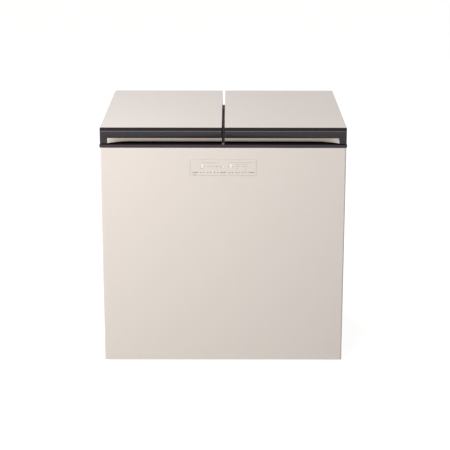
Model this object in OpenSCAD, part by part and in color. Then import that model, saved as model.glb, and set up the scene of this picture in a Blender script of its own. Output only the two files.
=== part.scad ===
// Two-lid chest refrigerator for kimchi.
// X runs to the right, Y to the back and Z up. The origin is on the floor, under the
// middle of the cabinet. All sizes are in millimetres.

/* [Cabinet] */
// Width over the side panels
cabinet_w = 924; // [840:1:1120]
// Depth from the front panel to the rear edges of the side panels
cabinet_d = 785; // [700:1:950]
// Height of the front and side panels
panel_h = 847; // [720:1:1030]
// Gap between the floor and the panels
floor_gap = 14; // [12:1:20]
// Thickness of the steel sheets
sheet = 1; // [0.8:0.1:1.4]
// Radius of the front panel's upright edges
front_edge_r = 6; // [4:0.5:8]
// How far the front panel wraps round onto the sides
front_return = 24; // [18:1:40]
// Width of the side panels' rear flanges
rear_flange = 14; // [10:1:20]
// Clearance where one sheet laps another
lap_fit = 0.2; // [0.1:0.05:0.4]

/* [Top frame] */
// Height of the trim strip
trim_h = 12; // [9:0.5:18]
// How far the trim stands out past the panels
trim_proud = 3; // [1:0.5:6]
// Corner radius of the trim, seen from above
trim_corner_r = 9; // [8:0.5:20]
// Radius along the trim's outer edges
trim_edge_r = 3.5; // [1:0.5:5]
// Width of the solid rim
rim_w = 7; // [5:0.5:8]
// Thickness of the deck
deck_wall = 3; // [2:0.5:4]
// Thickness of the lip that hooks into each tub
lip_wall = 2.5; // [2:0.5:4]
// Depth of that lip below the deck
lip_drop = 12; // [6:1:20]
// Clearance between the lip and the tub
lip_fit = 0.3; // [0.2:0.1:0.6]

/* [Insulation] */
// Foam between the side sheets and the tubs
side_foam = 52; // [40:1:70]
// Foam in front of the tubs
front_foam = 64; // [62:1:80]
// Foam behind the tubs, under the hinges
rear_foam = 130; // [110:1:160]
// Foam under the tubs
floor_foam = 105; // [60:1:130]
// Foam over and in front of the machine compartment
step_foam = 58; // [40:1:80]

/* [Tubs] */
// Wall of the tubs
tub_wall = 1.6; // [1:0.2:3]
// Radius of the tubs' upright corners
tub_corner_r = 38; // [20:1:60]
// Radius along the tubs' floors
tub_floor_r = 14; // [6:1:20]
// Width of the flange round each tub's mouth
tub_flange = 14; // [11:1:18]
// Outer radius of the evaporator pipe
coil_r = 4; // [3:0.5:4]
// Turns of pipe round each tub
coil_turns = 6; // [3:1:8]
// Gap between the pipe and the tub
coil_fit = 0.6; // [0.6:0.1:0.9]

/* [Machine compartment] */
// Depth from the rear edges to the machine wall
machine_d = 275; // [255:1:300]
// Clear height over the rear floor
machine_h = 290; // [280:1:330]
// Height of the rear floor's underside
rear_floor = 32; // [31:1:40]
// Radius of the fan blades
fan_r = 58; // [50:1:66]
// Number of fan blades
fan_blades = 5; // [3:1:7]
// Gap between the blade tips and the shroud
fan_gap = 4; // [2:0.5:8]
// Radius of the fan's shaft
fan_shaft_r = 3; // [2:0.5:4]
// Radius of the compressor shell
compressor_r = 68; // [55:1:72]
// Height of the compressor shell
compressor_h = 172; // [140:1:190]
// Condenser fins
fin_count = 21; // [9:1:24]
// Radius of the condenser tube
condenser_r = 4; // [3:0.5:5]
// Radius of the other refrigerant pipes
pipe_r = 3; // [2:0.5:4]

/* [Lids] */
// Gap between the two lids
lid_gap = 10.5; // [6:0.5:16]
// How far the lids reach past the side panels
lid_overhang = 0.5; // [0:0.5:2]
// Height of the lids
lid_h = 59; // [56:1:80]
// Gap between the closed lids and the deck
lid_rest = 4; // [3:0.5:6]
// Distance from the lids' rear to the rear edges of the side panels
lid_rear_inset = 5; // [0:0.5:10]
// Height of the sloping band along the front
bevel_h = 12; // [6:1:16]
// Depth of that band
bevel_d = 10; // [5:1:16]
// Flat edge behind the band
bevel_land = 1.2; // [0.8:0.2:3]
// Height of the upright front face
face_h = 26; // [22:1:30]
// Radius of the lids' upright corners
lid_corner_r = 4; // [2:0.5:5]
// Radius along the front edges of the lid frames
front_ease = 1; // [0.5:0.1:2]
// Thickness of the pale top panels
lid_panel_t = 3.2; // [2:0.2:5]
// Wall of the lid frames
frame_wall = 3; // [2:0.5:4]

/* [Finger grip] */
// Depth of the finger space behind the front face
grip_depth = 40; // [30:1:40]
// Length of the closed stretch at the outer end
grip_end = 28; // [15:1:60]
// Height of the grip strip
grip_h = 14; // [9:0.2:15]
// How far the strip's lower edge leans back
grip_lean = 6; // [3:0.5:9]
// Extra drop of the lower edge at the outer end
grip_drop = 6.4; // [2:0.2:8]
// Length of the stretch over which the edge drops
grip_sweep = 96; // [50:1:150]
// Thickness of the strip
grip_wall = 3; // [2:0.5:4]

/* [Lid plug and gasket] */
// Wall of the liner
liner_wall = 2; // [1.5:0.5:3]
// Depth of the plug below the lid
plug_h = 35; // [20:1:50]
// Gap between the plug and the mouth
plug_gap = 5; // [4:0.5:10]
// Radius along the plug's lower edges
plug_edge_r = 12; // [6:1:18]
// Distance from the mouth to the middle of the gasket
gasket_out = 15; // [12:0.5:15]
// Width of the gasket
gasket_w = 16; // [12:0.5:16]
// Gap between the gasket and the deck
gasket_fit = 0.4; // [0.3:0.1:0.6]

/* [Hinges] */
// Distance between a lid's two hinges
hinge_spread = 300; // [200:1:320]
// Radius of the lid's rolled rear edge, which turns about the pin
hinge_r = 10; // [9:0.5:13]
// Radius of the hinge pins
pin_r = 3; // [2:0.5:3.5]
// Running clearance of the pins
pin_fit = 0.06; // [0.02:0.01:0.1]
// Width over the bracket's ears
bracket_w = 52; // [48:1:60]
// Thickness of the ears
ear_t = 3; // [2:0.5:4]
// Radius of the barrels
barrel_r = 6.5; // [5.5:0.5:7]
// Wire of the torsion springs
spring_wire = 2.4; // [1.6:0.2:2.6]
// Turns of each spring
spring_turns = 6; // [3:1:7]

/* [Control window] */
// Width of the window
window_w = 253; // [180:1:300]
// Height of the window
window_h = 63; // [40:1:90]
// Distance from the panel's top edge
window_drop = 45; // [30:1:90]
// Corner radius
window_r = 5; // [2:0.5:12]
// Gap round the window
window_gap = 0.4; // [0.2:0.1:0.8]

/* [Feet] */
// Distance of the feet and rollers from the side panels
foot_inset = 62; // [50:1:90]
// Distance of the front feet from the front
foot_front = 70; // [60:1:120]
// Radius of the levelling feet
foot_r = 22; // [16:1:30]
// Radius of the feet's stems
stem_r = 5; // [4:0.5:6]
// Clearance of the stems in their sockets
stem_fit = 0.08; // [0.04:0.02:0.1]
// Radius of the rear rollers
roller_r = 14; // [12:0.5:15]
// Width of the rollers
roller_w = 20; // [14:1:30]
// Radius of the roller axles
axle_r = 4; // [3:0.5:5]

/* [Containers] */
// Height of the storage containers
container_h = 170; // [120:1:220]
// Wall of the containers
container_wall = 2.5; // [2:0.5:4]
// Gap between the containers and the tubs
container_gap = 9; // [6:1:20]
// Width of the containers' rims
container_rim = 7; // [5:1:10]
// How far the containers' walls lean in towards the floor
container_draft = 5; // [0:0.5:8]
// Radius along the containers' floors
container_floor_r = 12; // [8:1:18]

/* [Hidden] */
$fn = 48;

// Colours
pearl = "#e2dbd3";
charcoal = "#4a464b";
white_plastic = "#eceae6";
galvanised = "#b9bcc0";
copper = "#b8704a";
aluminium = "#c6c8cb";
black_plastic = "#26262a";
foam_yellow = "#e8d9a0";
board_green = "#2f6b45";
smoked = "#c9c4bd";

// Cabinet levels and edges
front_y = -cabinet_d / 2;
back_y = cabinet_d / 2;
side_x = cabinet_w / 2;
base_z = floor_gap;
panel_top = base_z + panel_h;
deck_z = panel_top + trim_h;
inner_x = side_x - sheet - lap_fit;

// Lids
lid_z = deck_z + lid_rest;
lid_top = lid_z + lid_h;
lid_x0 = lid_gap / 2;
lid_x1 = side_x + lid_overhang;
lid_cx = (lid_x0 + lid_x1) / 2;
lid_y0 = front_y;
lid_y1 = back_y - lid_rear_inset;
panel_y0 = lid_y0 + bevel_d + bevel_land;
panel_z0 = lid_top - lid_panel_t;
grip_top = lid_top - bevel_h - face_h;
recess_y = lid_y0 + grip_depth;
hinge_y = lid_y1 - hinge_r;
hinge_z = lid_z + hinge_r;
hinge_xs = [lid_cx - hinge_spread / 2, lid_cx + hinge_spread / 2];
pocket_front = hinge_y - 32;
pocket_z = hinge_z + 17;
pocket_w = bracket_w + 10;

// Tubs
wall_y = back_y - machine_d;
machine_top = rear_floor + sheet + machine_h;
tub_hw = side_x - sheet - side_foam - lid_cx;
tub_y0 = front_y + 2 * sheet + front_foam;
tub_y1 = back_y - sheet - rear_foam;
tub_floor = base_z + sheet + floor_foam;
tub_step_z = machine_top + sheet + step_foam;
tub_step_y = wall_y - sheet - step_foam;
tub_top = deck_z - deck_wall;
coil_space = 2 * (coil_r + coil_fit);
coil_off = coil_r + coil_fit;

// Mouth of the top frame, and the plug that enters it
mouth_in = tub_wall + lip_fit + lip_wall;
plug_in = mouth_in + plug_gap;

// Bent sheets, drawn from the side
base_path = [
    [front_y + sheet, base_z + 25], [front_y + sheet, base_z], [wall_y - 14, base_z],
    [wall_y, rear_floor], [back_y, rear_floor], [back_y, rear_floor + 16]];
wall_foot_y = wall_y + 8;
wall_path = [
    [wall_foot_y, rear_floor + sheet], [wall_foot_y, machine_top - 34],
    [wall_foot_y + 34, machine_top], [back_y, machine_top], [back_y, machine_top + 16]];

// Machine compartment
floor_z = rear_floor + sheet;
machine_y = (wall_foot_y + back_y) / 2;
fan_x = -70;
fan_z = floor_z + fan_r + fan_gap + 42;
compressor_x = 132;
compressor_z = floor_z + 14;
stub_out = 14;
stub_x = compressor_x - compressor_r - stub_out;
condenser_x = -250;
condenser_y0 = machine_y - 105;
condenser_y1 = machine_y + 105;
condenser_top = floor_z + 176;
dryer_x = -345;
dryer_y = machine_y - 60;
dryer_z = floor_z + 90;
dryer_h = 90;
port_z = machine_top - 62;
suction_port_x = 236;
capillary_port_x = -400;
port_r = pipe_r + 2;
screw_xs = [-400, -135, 135, 400];
screw_zs = [rear_floor + 9, machine_top + 9];
gland_x = 330;
gland_z = rear_floor + 30;
box_x0 = 300;
box_x1 = 424;
box_y0 = machine_y - 70;
box_y1 = machine_y + 80;
box_h = 66;
box_notch = [box_y0 + 60, box_y0 + 84];

// Feet
foot_x = side_x - foot_inset;
foot_y = front_y + foot_front;
roller_y = back_y - 52;
roller_z = roller_r;

// Containers
container_hw = tub_hw - tub_wall - container_gap;
container_y0 = tub_y0 + tub_wall + container_gap;
container_y1 = tub_step_y - tub_wall - container_gap;
container_z = tub_floor + tub_wall + 0.3;
container_corner_r = 34;

// ---- outlines ----

// An arc from angle a to angle b
function arc(x, y, r, a, b, n = 6) =
    [for (i = [0 : n]) let (t = a + (b - a) * i / n) [x + r * cos(t), y + r * sin(t)]];

function rounded_rect(x0, y0, x1, y1, r, n = 6) = concat(
    arc(x1 - r, y1 - r, r, 0, 90, n), arc(x0 + r, y1 - r, r, 90, 180, n),
    arc(x0 + r, y0 + r, r, 180, 270, n), arc(x1 - r, y0 + r, r, 270, 360, n));

// A section with an open top: level floor, rounded lower corners and walls that lean out by lean
function trough(a0, a1, z0, z1, r, lean = 0) = concat(
    [[a0, z1]], arc(a0 + lean + r, z0 + r, r, 180, 270), arc(a1 - lean - r, z0 + r, r, 270, 360),
    [[a1, z1]]);

function unit(v) = v / norm(v);
function left_of(v) = [-v[1], v[0]];

// The point that lies t to the left of a path's corner i
function mitre(path, i, t) =
    let (last = len(path) - 1,
        before = unit(path[max(i, 1)] - path[max(i, 1) - 1]),
        after = unit(path[min(i + 1, last)] - path[min(i, last - 1)]),
        m = unit(left_of(before) + left_of(after)))
    path[i] + m * t / (m * left_of(before));

// A bent sheet's outline: the path and its copy t to the left
function strip(path, t) =
    concat(path, [for (i = [len(path) - 1 : -1 : 0]) mitre(path, i, t)]);

// ---- placing ----

module along_x(x0, x1) {
    translate([x0, 0, 0]) rotate([90, 0, 90]) linear_extrude(x1 - x0) children();
}

module along_y(y0, y1) {
    translate([0, y1, 0]) rotate([90, 0, 0]) linear_extrude(y1 - y0) children();
}

module along_z(z0, z1) {
    translate([0, 0, z0]) linear_extrude(z1 - z0) children();
}

module box(low, high) {
    translate(low) cube(high - low);
}

module rod_x(x0, x1, y, z, r) {
    translate([x0, y, z]) rotate([0, 90, 0]) cylinder(r = r, h = x1 - x0);
}

module rod_y(y0, y1, x, z, r) {
    translate([x, y0, z]) rotate([-90, 0, 0]) cylinder(r = r, h = y1 - y0);
}

module mirrored() {
    children();
    mirror([1, 0, 0]) children();
}

// Sweeps a profile round a rounded rectangle; the profile's first axis runs inwards from the edge
module swept_ring(x0, y0, x1, y1, r) {
    corners = [[x1 - r, y1 - r], [x0 + r, y1 - r], [x0 + r, y0 + r], [x1 - r, y0 + r]];
    for (i = [0 : 3])
        translate([corners[i][0], corners[i][1], 0]) rotate([0, 0, 90 * i])
            rotate_extrude(angle = 90) translate([r, 0]) mirror([1, 0]) children();
    along_x(x0 + r, x1 - r) translate([y0, 0]) children();
    along_x(x0 + r, x1 - r) translate([y1, 0]) mirror([1, 0]) children();
    along_y(y0 + r, y1 - r) translate([x0, 0]) children();
    along_y(y0 + r, y1 - r) translate([x1, 0]) mirror([1, 0]) children();
}

// ---- swept tubes and lofts ----

// Joins rings of points, each with as many points as the next, into one closed solid
module loft(rings) {
    n = len(rings[0]);
    last = len(rings) - 1;
    polyhedron(
        points = [for (ring = rings) each ring],
        faces = concat(
            [[for (k = [0 : n - 1]) k]],
            [for (i = [0 : last - 1], k = [0 : n - 1], half = [0, 1])
                let (a = i * n + k, b = i * n + (k + 1) % n, c = b + n, d = a + n)
                half == 0 ? [a, d, c] : [a, c, b]],
            [[for (k = [n - 1 : -1 : 0]) last * n + k]]),
        convexity = 10);
}

// The rings of a round tube along a path; up is never parallel to the path
function tube_rings(path, r, sides, up) =
    [for (i = [0 : len(path) - 1])
        let (t = unit(path[min(i + 1, len(path) - 1)] - path[max(i - 1, 0)]),
            u = unit(cross(up, t)),
            v = cross(t, u))
        [for (k = [0 : sides - 1])
            path[i] + r * (cos(360 * k / sides) * u + sin(360 * k / sides) * v)]];

module tube(path, r, sides = 8, up = [0, 0, 1]) {
    loft(tube_rings(path, r, sides, up));
}

// A corner between the points a and b, rounded over the length r on both sides
function eased(a, corner, b, r, n = 3) =
    [for (k = [0 : n]) let (s = k / n)
        corner + r * ((1 - s) * (1 - s) * unit(a - corner) + s * s * unit(b - corner))];

// A path of straight stretches with its corners rounded
function bent(path, r) = concat([path[0]],
    [for (i = [1 : len(path) - 2]) each eased(path[i - 1], path[i], path[i + 1], r)],
    [path[len(path) - 1]]);

// The least distance between stretches of a winding that are at least skip points apart
function winding_gap(path, wire, skip) =
    min([for (i = [0 : len(path) - 1 - skip], j = [i + skip : len(path) - 1])
        norm(path[i] - path[j])]) - wire;

// ---- cabinet shell ----

window_z1 = panel_top - window_drop;
window_z0 = window_z1 - window_h;

function window_outline(grow) = rounded_rect(
    -window_w / 2 - grow, window_z0 - grow, window_w / 2 + grow, window_z1 + grow,
    window_r + max(grow, -window_r / 2));

module front_panel() {
    path = concat(
        [[-side_x, front_y + front_return]],
        arc(-side_x + front_edge_r, front_y + front_edge_r, front_edge_r, 180, 270, 8),
        arc(side_x - front_edge_r, front_y + front_edge_r, front_edge_r, 270, 360, 8),
        [[side_x, front_y + front_return]]);
    color(pearl) difference() {
        along_z(base_z, panel_top) polygon(strip(path, sheet));
        along_y(front_y - 1, front_y + sheet + 1) polygon(window_outline(0));
    }
}

module side_panel() {
    tongue_x = side_x - sheet - lap_fit;
    path = [
        [tongue_x, front_y + front_edge_r + 3], [tongue_x, front_y + front_return + 0.4],
        [side_x, front_y + front_return + 1.8], [side_x, back_y], [side_x - rear_flange, back_y]];
    color(pearl) along_z(base_z, panel_top) polygon(strip(path, sheet));
}
module right_side_panel() side_panel();
module left_side_panel() mirror([1, 0, 0]) side_panel();

module back_panel() {
    bead_w = 60;
    bead_proud = 1.2;
    beads = [-300, -150, 0, 150, 300];
    edge = side_x - 4;
    path = concat([[-edge, back_y]],
        [for (x = beads) each [[x - bead_w / 2, back_y], [x - bead_w / 2 + 4, back_y + bead_proud],
            [x + bead_w / 2 - 4, back_y + bead_proud], [x + bead_w / 2, back_y]]],
        [[edge, back_y]]);
    color(galvanised) along_z(machine_top + 22, panel_top - 0.3) polygon(strip(path, sheet));
}

// One screw at each spot along the rear cover's upper and lower edges
module at_screws() {
    for (x = screw_xs, z = screw_zs)
        translate([x, back_y, z]) children();
}

module rear_cover() {
    slot_w = 5;
    slot_h = 44;
    pitch = 13;
    color(galvanised) difference() {
        along_y(back_y, back_y + sheet) difference() {
            polygon(rounded_rect(-side_x + 4, base_z + 8, side_x - 4, machine_top + 21, 4));
            for (field_x = [-250, 130], i = [-6 : 6], row = [0 : 2])
                translate([field_x + i * pitch, floor_z + 62 + row * 58])
                    polygon(rounded_rect(-slot_w / 2, -slot_h / 2, slot_w / 2, slot_h / 2,
                        slot_w / 2 - 0.01, 3));
        }
        at_screws() rod_y(-1, sheet + 1, 0, 0, 2.3);
        rod_y(back_y - 1, back_y + sheet + 1, gland_x, gland_z, 8.1);
    }
}

module rear_cover_screws() {
    color(aluminium) at_screws() {
        rod_y(sheet, sheet + 1.6, 0, 0, 4.5);
        rod_y(-7, sheet + 0.5, 0, 0, 2);
    }
}

module cord_gland() {
    color(black_plastic) translate([gland_x, back_y, gland_z]) rotate([-90, 0, 0])
        rotate_extrude() polygon([
            [4, -5], [8.6, -5], [10, -1], [10, -0.1], [8, -0.1], [8, sheet + 0.1],
            [12, sheet + 0.1], [11, sheet + 1.8], [4, sheet + 1.8]]);
}

// Leaves room for the front panel's rounded corners
module front_notches() {
    mirrored() box([side_x - front_edge_r - 1, front_y, 0],
        [side_x, front_y + front_edge_r + 3, panel_top + 1]);
}

// Leaves room for the side panels' rear flanges
module rear_notches() {
    mirrored() box([side_x - rear_flange - 0.5, back_y - sheet - 0.1, 0],
        [side_x, back_y + 1, machine_top + 40]);
}

module base_pan() {
    color(galvanised) difference() {
        along_x(-inner_x + sheet + lap_fit, inner_x - sheet - lap_fit)
            polygon(strip(base_path, sheet));
        front_notches();
        rear_notches();
        at_screws() rod_y(-10, 5, 0, 0, 2.05);
        mirrored() translate([foot_x, foot_y, base_z - 1]) cylinder(r = stem_r + 1, h = sheet + 2);
    }
}

module machine_wall() {
    color(galvanised) difference() {
        along_x(-inner_x + sheet + lap_fit, inner_x - sheet - lap_fit)
            polygon(strip(wall_path, sheet));
        rear_notches();
        at_screws() rod_y(-10, 5, 0, 0, 2.05);
        pipe_ports();
    }
}

// Holes by which the suction pipe and the capillary leave the compartment
module pipe_ports() {
    for (x = [suction_port_x, capillary_port_x])
        rod_y(wall_foot_y - 30, wall_foot_y + 5, x, port_z, port_r);
}

module cabinet_foam() {
    // The foam follows the base, the machine wall and the rear flange
    outline = concat(
        [[front_y + 2 * sheet, base_z + sheet]],
        [for (i = [2, 3]) mitre(base_path, i, sheet)],
        [[wall_foot_y - sheet, rear_floor + sheet]],
        [for (i = [1 : 3]) mitre(wall_path, i, sheet)],
        [[back_y - sheet, panel_top], [front_y + 2 * sheet, panel_top]]);
    rim_in = rim_w - trim_proud + 0.5;
    color(foam_yellow) difference() {
        union() {
            along_x(-inner_x + sheet, inner_x - sheet) polygon(outline);
            along_z(panel_top - 1, tub_top - tub_wall) polygon(rounded_rect(
                -side_x + rim_in, front_y + rim_in, side_x - rim_in, back_y - rim_in, 6));
        }
        mirrored() {
            tub_block(coil_space);
            translate([foot_x, foot_y, 0]) cylinder(r = 21, h = base_z + sheet + 3);
            translate([foot_x, foot_y, 0]) cylinder(r = 11.6, h = base_z + 48);
        }
        box([-window_w / 2 - 14, front_y, window_z0 - 14],
            [window_w / 2 + 14, front_y + 31, window_z1 + 14]);
        front_notches();
        pipe_ports();
        at_screws() rod_y(-9, 1, 0, 0, 3);
    }
}

module top_frame() {
    rim_profile = concat(
        arc(trim_edge_r, trim_h - trim_edge_r, trim_edge_r, 180, 90, 5),
        [[rim_w, trim_h], [rim_w, 0]],
        arc(trim_edge_r, trim_edge_r, trim_edge_r, 270, 180, 5));
    color(charcoal) {
        translate([0, 0, panel_top])
            swept_ring(-side_x - trim_proud, front_y - trim_proud,
                side_x + trim_proud, back_y + trim_proud, trim_corner_r)
                polygon(rim_profile);
        difference() {
            union() {
                inset = rim_w / 2 - trim_proud;
                along_z(tub_top, deck_z) polygon(rounded_rect(
                    -side_x + inset, front_y + inset, side_x - inset, back_y - inset,
                    trim_corner_r - rim_w / 2));
                mirrored() along_z(tub_top - lip_drop, deck_z)
                    polygon(mouth_outline(tub_wall + lip_fit));
            }
            mirrored() along_z(tub_top - lip_drop - 1, deck_z + 1)
                polygon(mouth_outline(mouth_in));
        }
    }
}

// ---- tubs ----

// The right tub's outline seen from above, drawn in by inset
function mouth_outline(inset) = rounded_rect(
    lid_cx - tub_hw + inset, tub_y0 + inset, lid_cx + tub_hw - inset, tub_y1 - inset,
    tub_corner_r - inset);

// The right tub's solid form: deep in front, stepped over the machine compartment
module tub_block(grow, rise = 0) {
    r = tub_floor_r - rise;
    intersection() {
        along_z(tub_floor - 1, tub_top + 5) polygon(mouth_outline(-grow));
        along_x(lid_cx - tub_hw - grow - 1, lid_cx + tub_hw + grow + 1) polygon(concat(
            [[tub_y0 - grow, tub_top + 2]],
            arc(tub_y0 - grow + r, tub_floor + rise + r, r, 180, 270),
            arc(tub_step_y + grow - r, tub_floor + rise + r, r, 270, 360),
            [[tub_step_y + grow, tub_step_z + rise]],
            arc(tub_y1 + grow - r, tub_step_z + rise + r, r, 270, 360),
            [[tub_y1 + grow, tub_top + 2]]));
    }
}

module tub() {
    color(aluminium) difference() {
        union() {
            intersection() {
                tub_block(0);
                box([0, -cabinet_d, 0], [cabinet_w, cabinet_d, tub_top]);
            }
            along_z(tub_top - tub_wall, tub_top) polygon(mouth_outline(-tub_flange));
        }
        tub_block(-tub_wall, tub_wall);
    }
}
module right_tub() tub();
module left_tub() mirror([1, 0, 0]) tub();

coil_z0 = tub_step_z + 40;
coil_z1 = panel_top - 70;
coil_corner = rounded_rect(
    lid_cx - tub_hw - coil_off, tub_y0 - coil_off, lid_cx + tub_hw + coil_off, tub_y1 + coil_off,
    tub_corner_r + coil_off, 5);
coil_path = [for (turn = [0 : coil_turns - 1], i = [0 : len(coil_corner) - 1])
    [coil_corner[i][0], coil_corner[i][1],
        coil_z0 + (coil_z1 - coil_z0) * (turn + i / len(coil_corner)) / coil_turns]];

module evaporator_coil() {
    color(copper) tube(coil_path, coil_r, 6);
}
module right_evaporator_coil() evaporator_coil();
module left_evaporator_coil() mirror([1, 0, 0]) evaporator_coil();
echo("least gap of an evaporator coil to itself",
    winding_gap(coil_path, 2 * coil_r, len(coil_corner) - 6));

// ---- controls ----

case_y0 = front_y + sheet;
case_y1 = front_y + 30;
board_y = front_y + 12;

module control_window() {
    flange = 5;
    flange_t = 1.5;
    color(pearl) {
        along_y(front_y, case_y0 + 0.01) polygon(window_outline(-window_gap));
        along_y(case_y0, case_y0 + flange_t) polygon(window_outline(flange));
    }
}

module display_board() {
    light_w = 5;
    light_pitch = 20;
    light_z = window_z0 + 18;
    color(board_green) along_y(board_y, board_y + 1.6) polygon(window_outline(2));
    // Lights and the segment display face the window; the plug is behind the board
    color(white_plastic) for (i = [-5 : 5])
        box([i * light_pitch - light_w / 2, board_y - 3, light_z],
            [i * light_pitch + light_w / 2, board_y + 0.2, light_z + light_w]);
    color(black_plastic) {
        box([-40, board_y - 6, window_z1 - 30], [30, board_y + 0.2, window_z1 - 12]);
        box([70, board_y + 1.4, window_z0 + 10], [95, board_y + 9, window_z0 + 22]);
    }
}

module display_case() {
    wall = 2;
    room = 8;
    color(black_plastic) {
        difference() {
            along_y(case_y0, case_y1) polygon(window_outline(room + wall));
            along_y(case_y0 - 1, case_y1 - wall) polygon(window_outline(room));
        }
        // Posts that carry the board
        for (x = [-window_w / 2 + room, window_w / 2 - room],
            z = [window_z0 + room, window_z1 - room])
            rod_y(board_y + 1.6, case_y1 - 1, x, z, 3);
    }
}

// ---- machine compartment ----

module compressor() {
    lip = 3;
    mid = compressor_h * 0.52;
    dome = 34;
    r = compressor_r;
    stub_in = 12;
    // Each dome is a quarter of an ellipse
    function quarter(z, h, a, b, n = 8) =
        [for (i = [0 : n]) let (t = a + (b - a) * i / n) [r * cos(t), z + h * sin(t)]];
    color(black_plastic) translate([compressor_x, machine_y, compressor_z]) {
        rotate_extrude() polygon(concat(
            [[0, 0]],
            quarter(dome, -dome, 78, 0),
            [[r, mid - 4], [r + lip, mid - 4], [r + lip, mid + 4], [r, mid + 4]],
            quarter(compressor_h - dome, dome, 0, 90),
            [[0, compressor_h]]));
        difference() {
            along_z(-2, 1) polygon(rounded_rect(-78, -60, 78, 60, 12));
            at_mounts() cylinder(r = 8, h = 10, center = true);
        }
        // Suction and discharge stubs
        for (stub = [[-22, 100], [22, 78]])
            rod_x(-r - stub_out, -r + stub_in, stub[0], stub[1], 4.5);
    }
}

module at_mounts() {
    for (x = [-64, 64], y = [-46, 46])
        translate([x, y, 0]) children();
}

module compressor_mounts() {
    color(black_plastic) translate([compressor_x, machine_y, 0]) at_mounts()
        rotate_extrude() polygon([
            [0, floor_z], [12, floor_z], [12, floor_z + 3], [9.5, floor_z + 6], [12, floor_z + 9],
            [12, compressor_z - 2.1], [7.8, compressor_z - 2.1], [7.8, compressor_z + 1.2],
            [10, compressor_z + 1.2], [9, compressor_z + 4], [0, compressor_z + 4]]);
}

module compressor_relay_cover() {
    color(black_plastic) translate([compressor_x, machine_y, compressor_z]) difference() {
        along_z(56, 118) polygon(rounded_rect(compressor_r - 22, -30, compressor_r + 26, 30, 8));
        translate([0, 0, 40]) cylinder(r = compressor_r + 3.3, h = 100);
    }
}

// The condenser's straight runs, down one column and up the other
condenser_rows = 5;
condenser_pitch = 34;
condenser_column = 15;
condenser_spots = concat(
    [for (i = [0 : condenser_rows - 1])
        [condenser_x + condenser_column, condenser_top - i * condenser_pitch]],
    [for (i = [condenser_rows - 1 : -1 : 0])
        [condenser_x - condenser_column, condenser_top - i * condenser_pitch]]);

// A serpentine along Y through each spot, joined by half-round bends
function serpentine(spots, y0, y1, n = 4) =
    [for (i = [0 : len(spots) - 1])
        let (forward = i % 2 == 0,
            start = forward ? y0 : y1,
            end = forward ? y1 : y0,
            a = spots[i],
            b = spots[min(i + 1, len(spots) - 1)],
            bulge = norm(b - a) / 2 * (forward ? 1 : -1))
        each concat(
            [[a[0], start, a[1]], [a[0], end, a[1]]],
            i == len(spots) - 1 ? [] : [for (k = [1 : n - 1])
                let (t = 180 * k / n, mid = (a + b) / 2 + (a - b) / 2 * cos(t))
                [mid[0], end + bulge * sin(t), mid[1]]])];

module condenser_tube() {
    color(copper) tube(serpentine(condenser_spots, condenser_y0, condenser_y1),
        condenser_r, 8, [1, 0.05, 0.1]);
}

module condenser_fins() {
    margin = 17;
    low = condenser_top - (condenser_rows - 1) * condenser_pitch - margin;
    step = (condenser_y1 - condenser_y0 - 16) / (fin_count - 1);
    color(aluminium) for (i = [0 : fin_count - 1]) {
        is_end = i == 0 || i == fin_count - 1;
        t = is_end ? 1.6 : 0.8;
        y = condenser_y0 + 8 + i * step;
        difference() {
            along_y(y - t / 2, y + t / 2) polygon(rounded_rect(
                condenser_x - condenser_column - margin, is_end ? floor_z : low,
                condenser_x + condenser_column + margin, condenser_top + margin, 3, 3));
            for (spot = condenser_spots)
                rod_y(y - 2, y + 2, spot[0], spot[1], condenser_r + 0.15);
        }
    }
}

module fan_shroud() {
    hole_r = fan_r + fan_gap;
    color(black_plastic) {
        difference() {
            along_x(fan_x - 1, fan_x + 1) polygon(rounded_rect(
                machine_y - hole_r - 20, floor_z, machine_y + hole_r + 20, fan_z + hole_r + 20, 6));
            rod_x(fan_x - 3, fan_x + 3, machine_y, fan_z, hole_r + 1);
        }
        // Bell mouth
        translate([fan_x, machine_y, fan_z]) rotate([0, 90, 0]) rotate_extrude() polygon([
            [hole_r, -12], [hole_r + 3, -12], [hole_r + 3, -4], [hole_r + 5, 0.5],
            [hole_r + 3, 4], [hole_r + 3, 14], [hole_r, 14]]);
        // Foot
        box([fan_x - 14, machine_y - hole_r, floor_z],
            [fan_x + 14, machine_y + hole_r, floor_z + 3]);
    }
}

motor_x = fan_x + 24;

module fan_motor() {
    arm_r = fan_r + fan_gap + 9;
    color(galvanised) difference() {
        union() {
            rod_x(motor_x, motor_x + 34, machine_y, fan_z, 24);
            rod_x(motor_x - 4, motor_x + 1, machine_y, fan_z, 10);
            for (a = [90, 210, 330])
                translate([0, machine_y, fan_z]) rotate([a, 0, 0]) {
                    box([motor_x + 2, 15, -5], [motor_x + 5, arm_r + 5, 5]);
                    box([fan_x + 1, arm_r, -5], [motor_x + 5, arm_r + 3, 5]);
                }
        }
        rod_x(motor_x - 5, motor_x + 24, machine_y, fan_z, fan_shaft_r + pin_fit);
    }
}

// A cambered paddle, pitched across the axis and cut to a rounded outline
module fan_blade(hub_r) {
    pitch = 28;
    half_chord = 28;
    camber = 4;
    t = 1.6;
    steps = [-1 : 0.25 : 1];
    curve = [for (c = steps) [c * half_chord, camber * (1 - c * c)]];
    outline = concat(curve, [for (i = [len(curve) - 1 : -1 : 0]) curve[i] - [0, t]]);
    intersection() {
        linear_extrude(fan_r + 5) rotate(90 - pitch) polygon(outline);
        along_x(-20, 20) polygon(concat(
            [[-11, hub_r - 5], [11, hub_r - 5]], arc(0, 0, fan_r, 66, 114, 8)));
    }
}

module fan_rotor() {
    hub_r = 18;
    color(black_plastic) translate([fan_x, machine_y, fan_z]) {
        rotate([0, 90, 0]) rotate_extrude() polygon([
            [0, -15], [12, -15], [hub_r, -10], [hub_r, 14], [0, 14]]);
        rod_x(10, motor_x - fan_x + 22, 0, 0, fan_shaft_r);
        for (i = [0 : fan_blades - 1])
            rotate([360 / fan_blades * i, 0, 0]) fan_blade(hub_r);
    }
}

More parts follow.
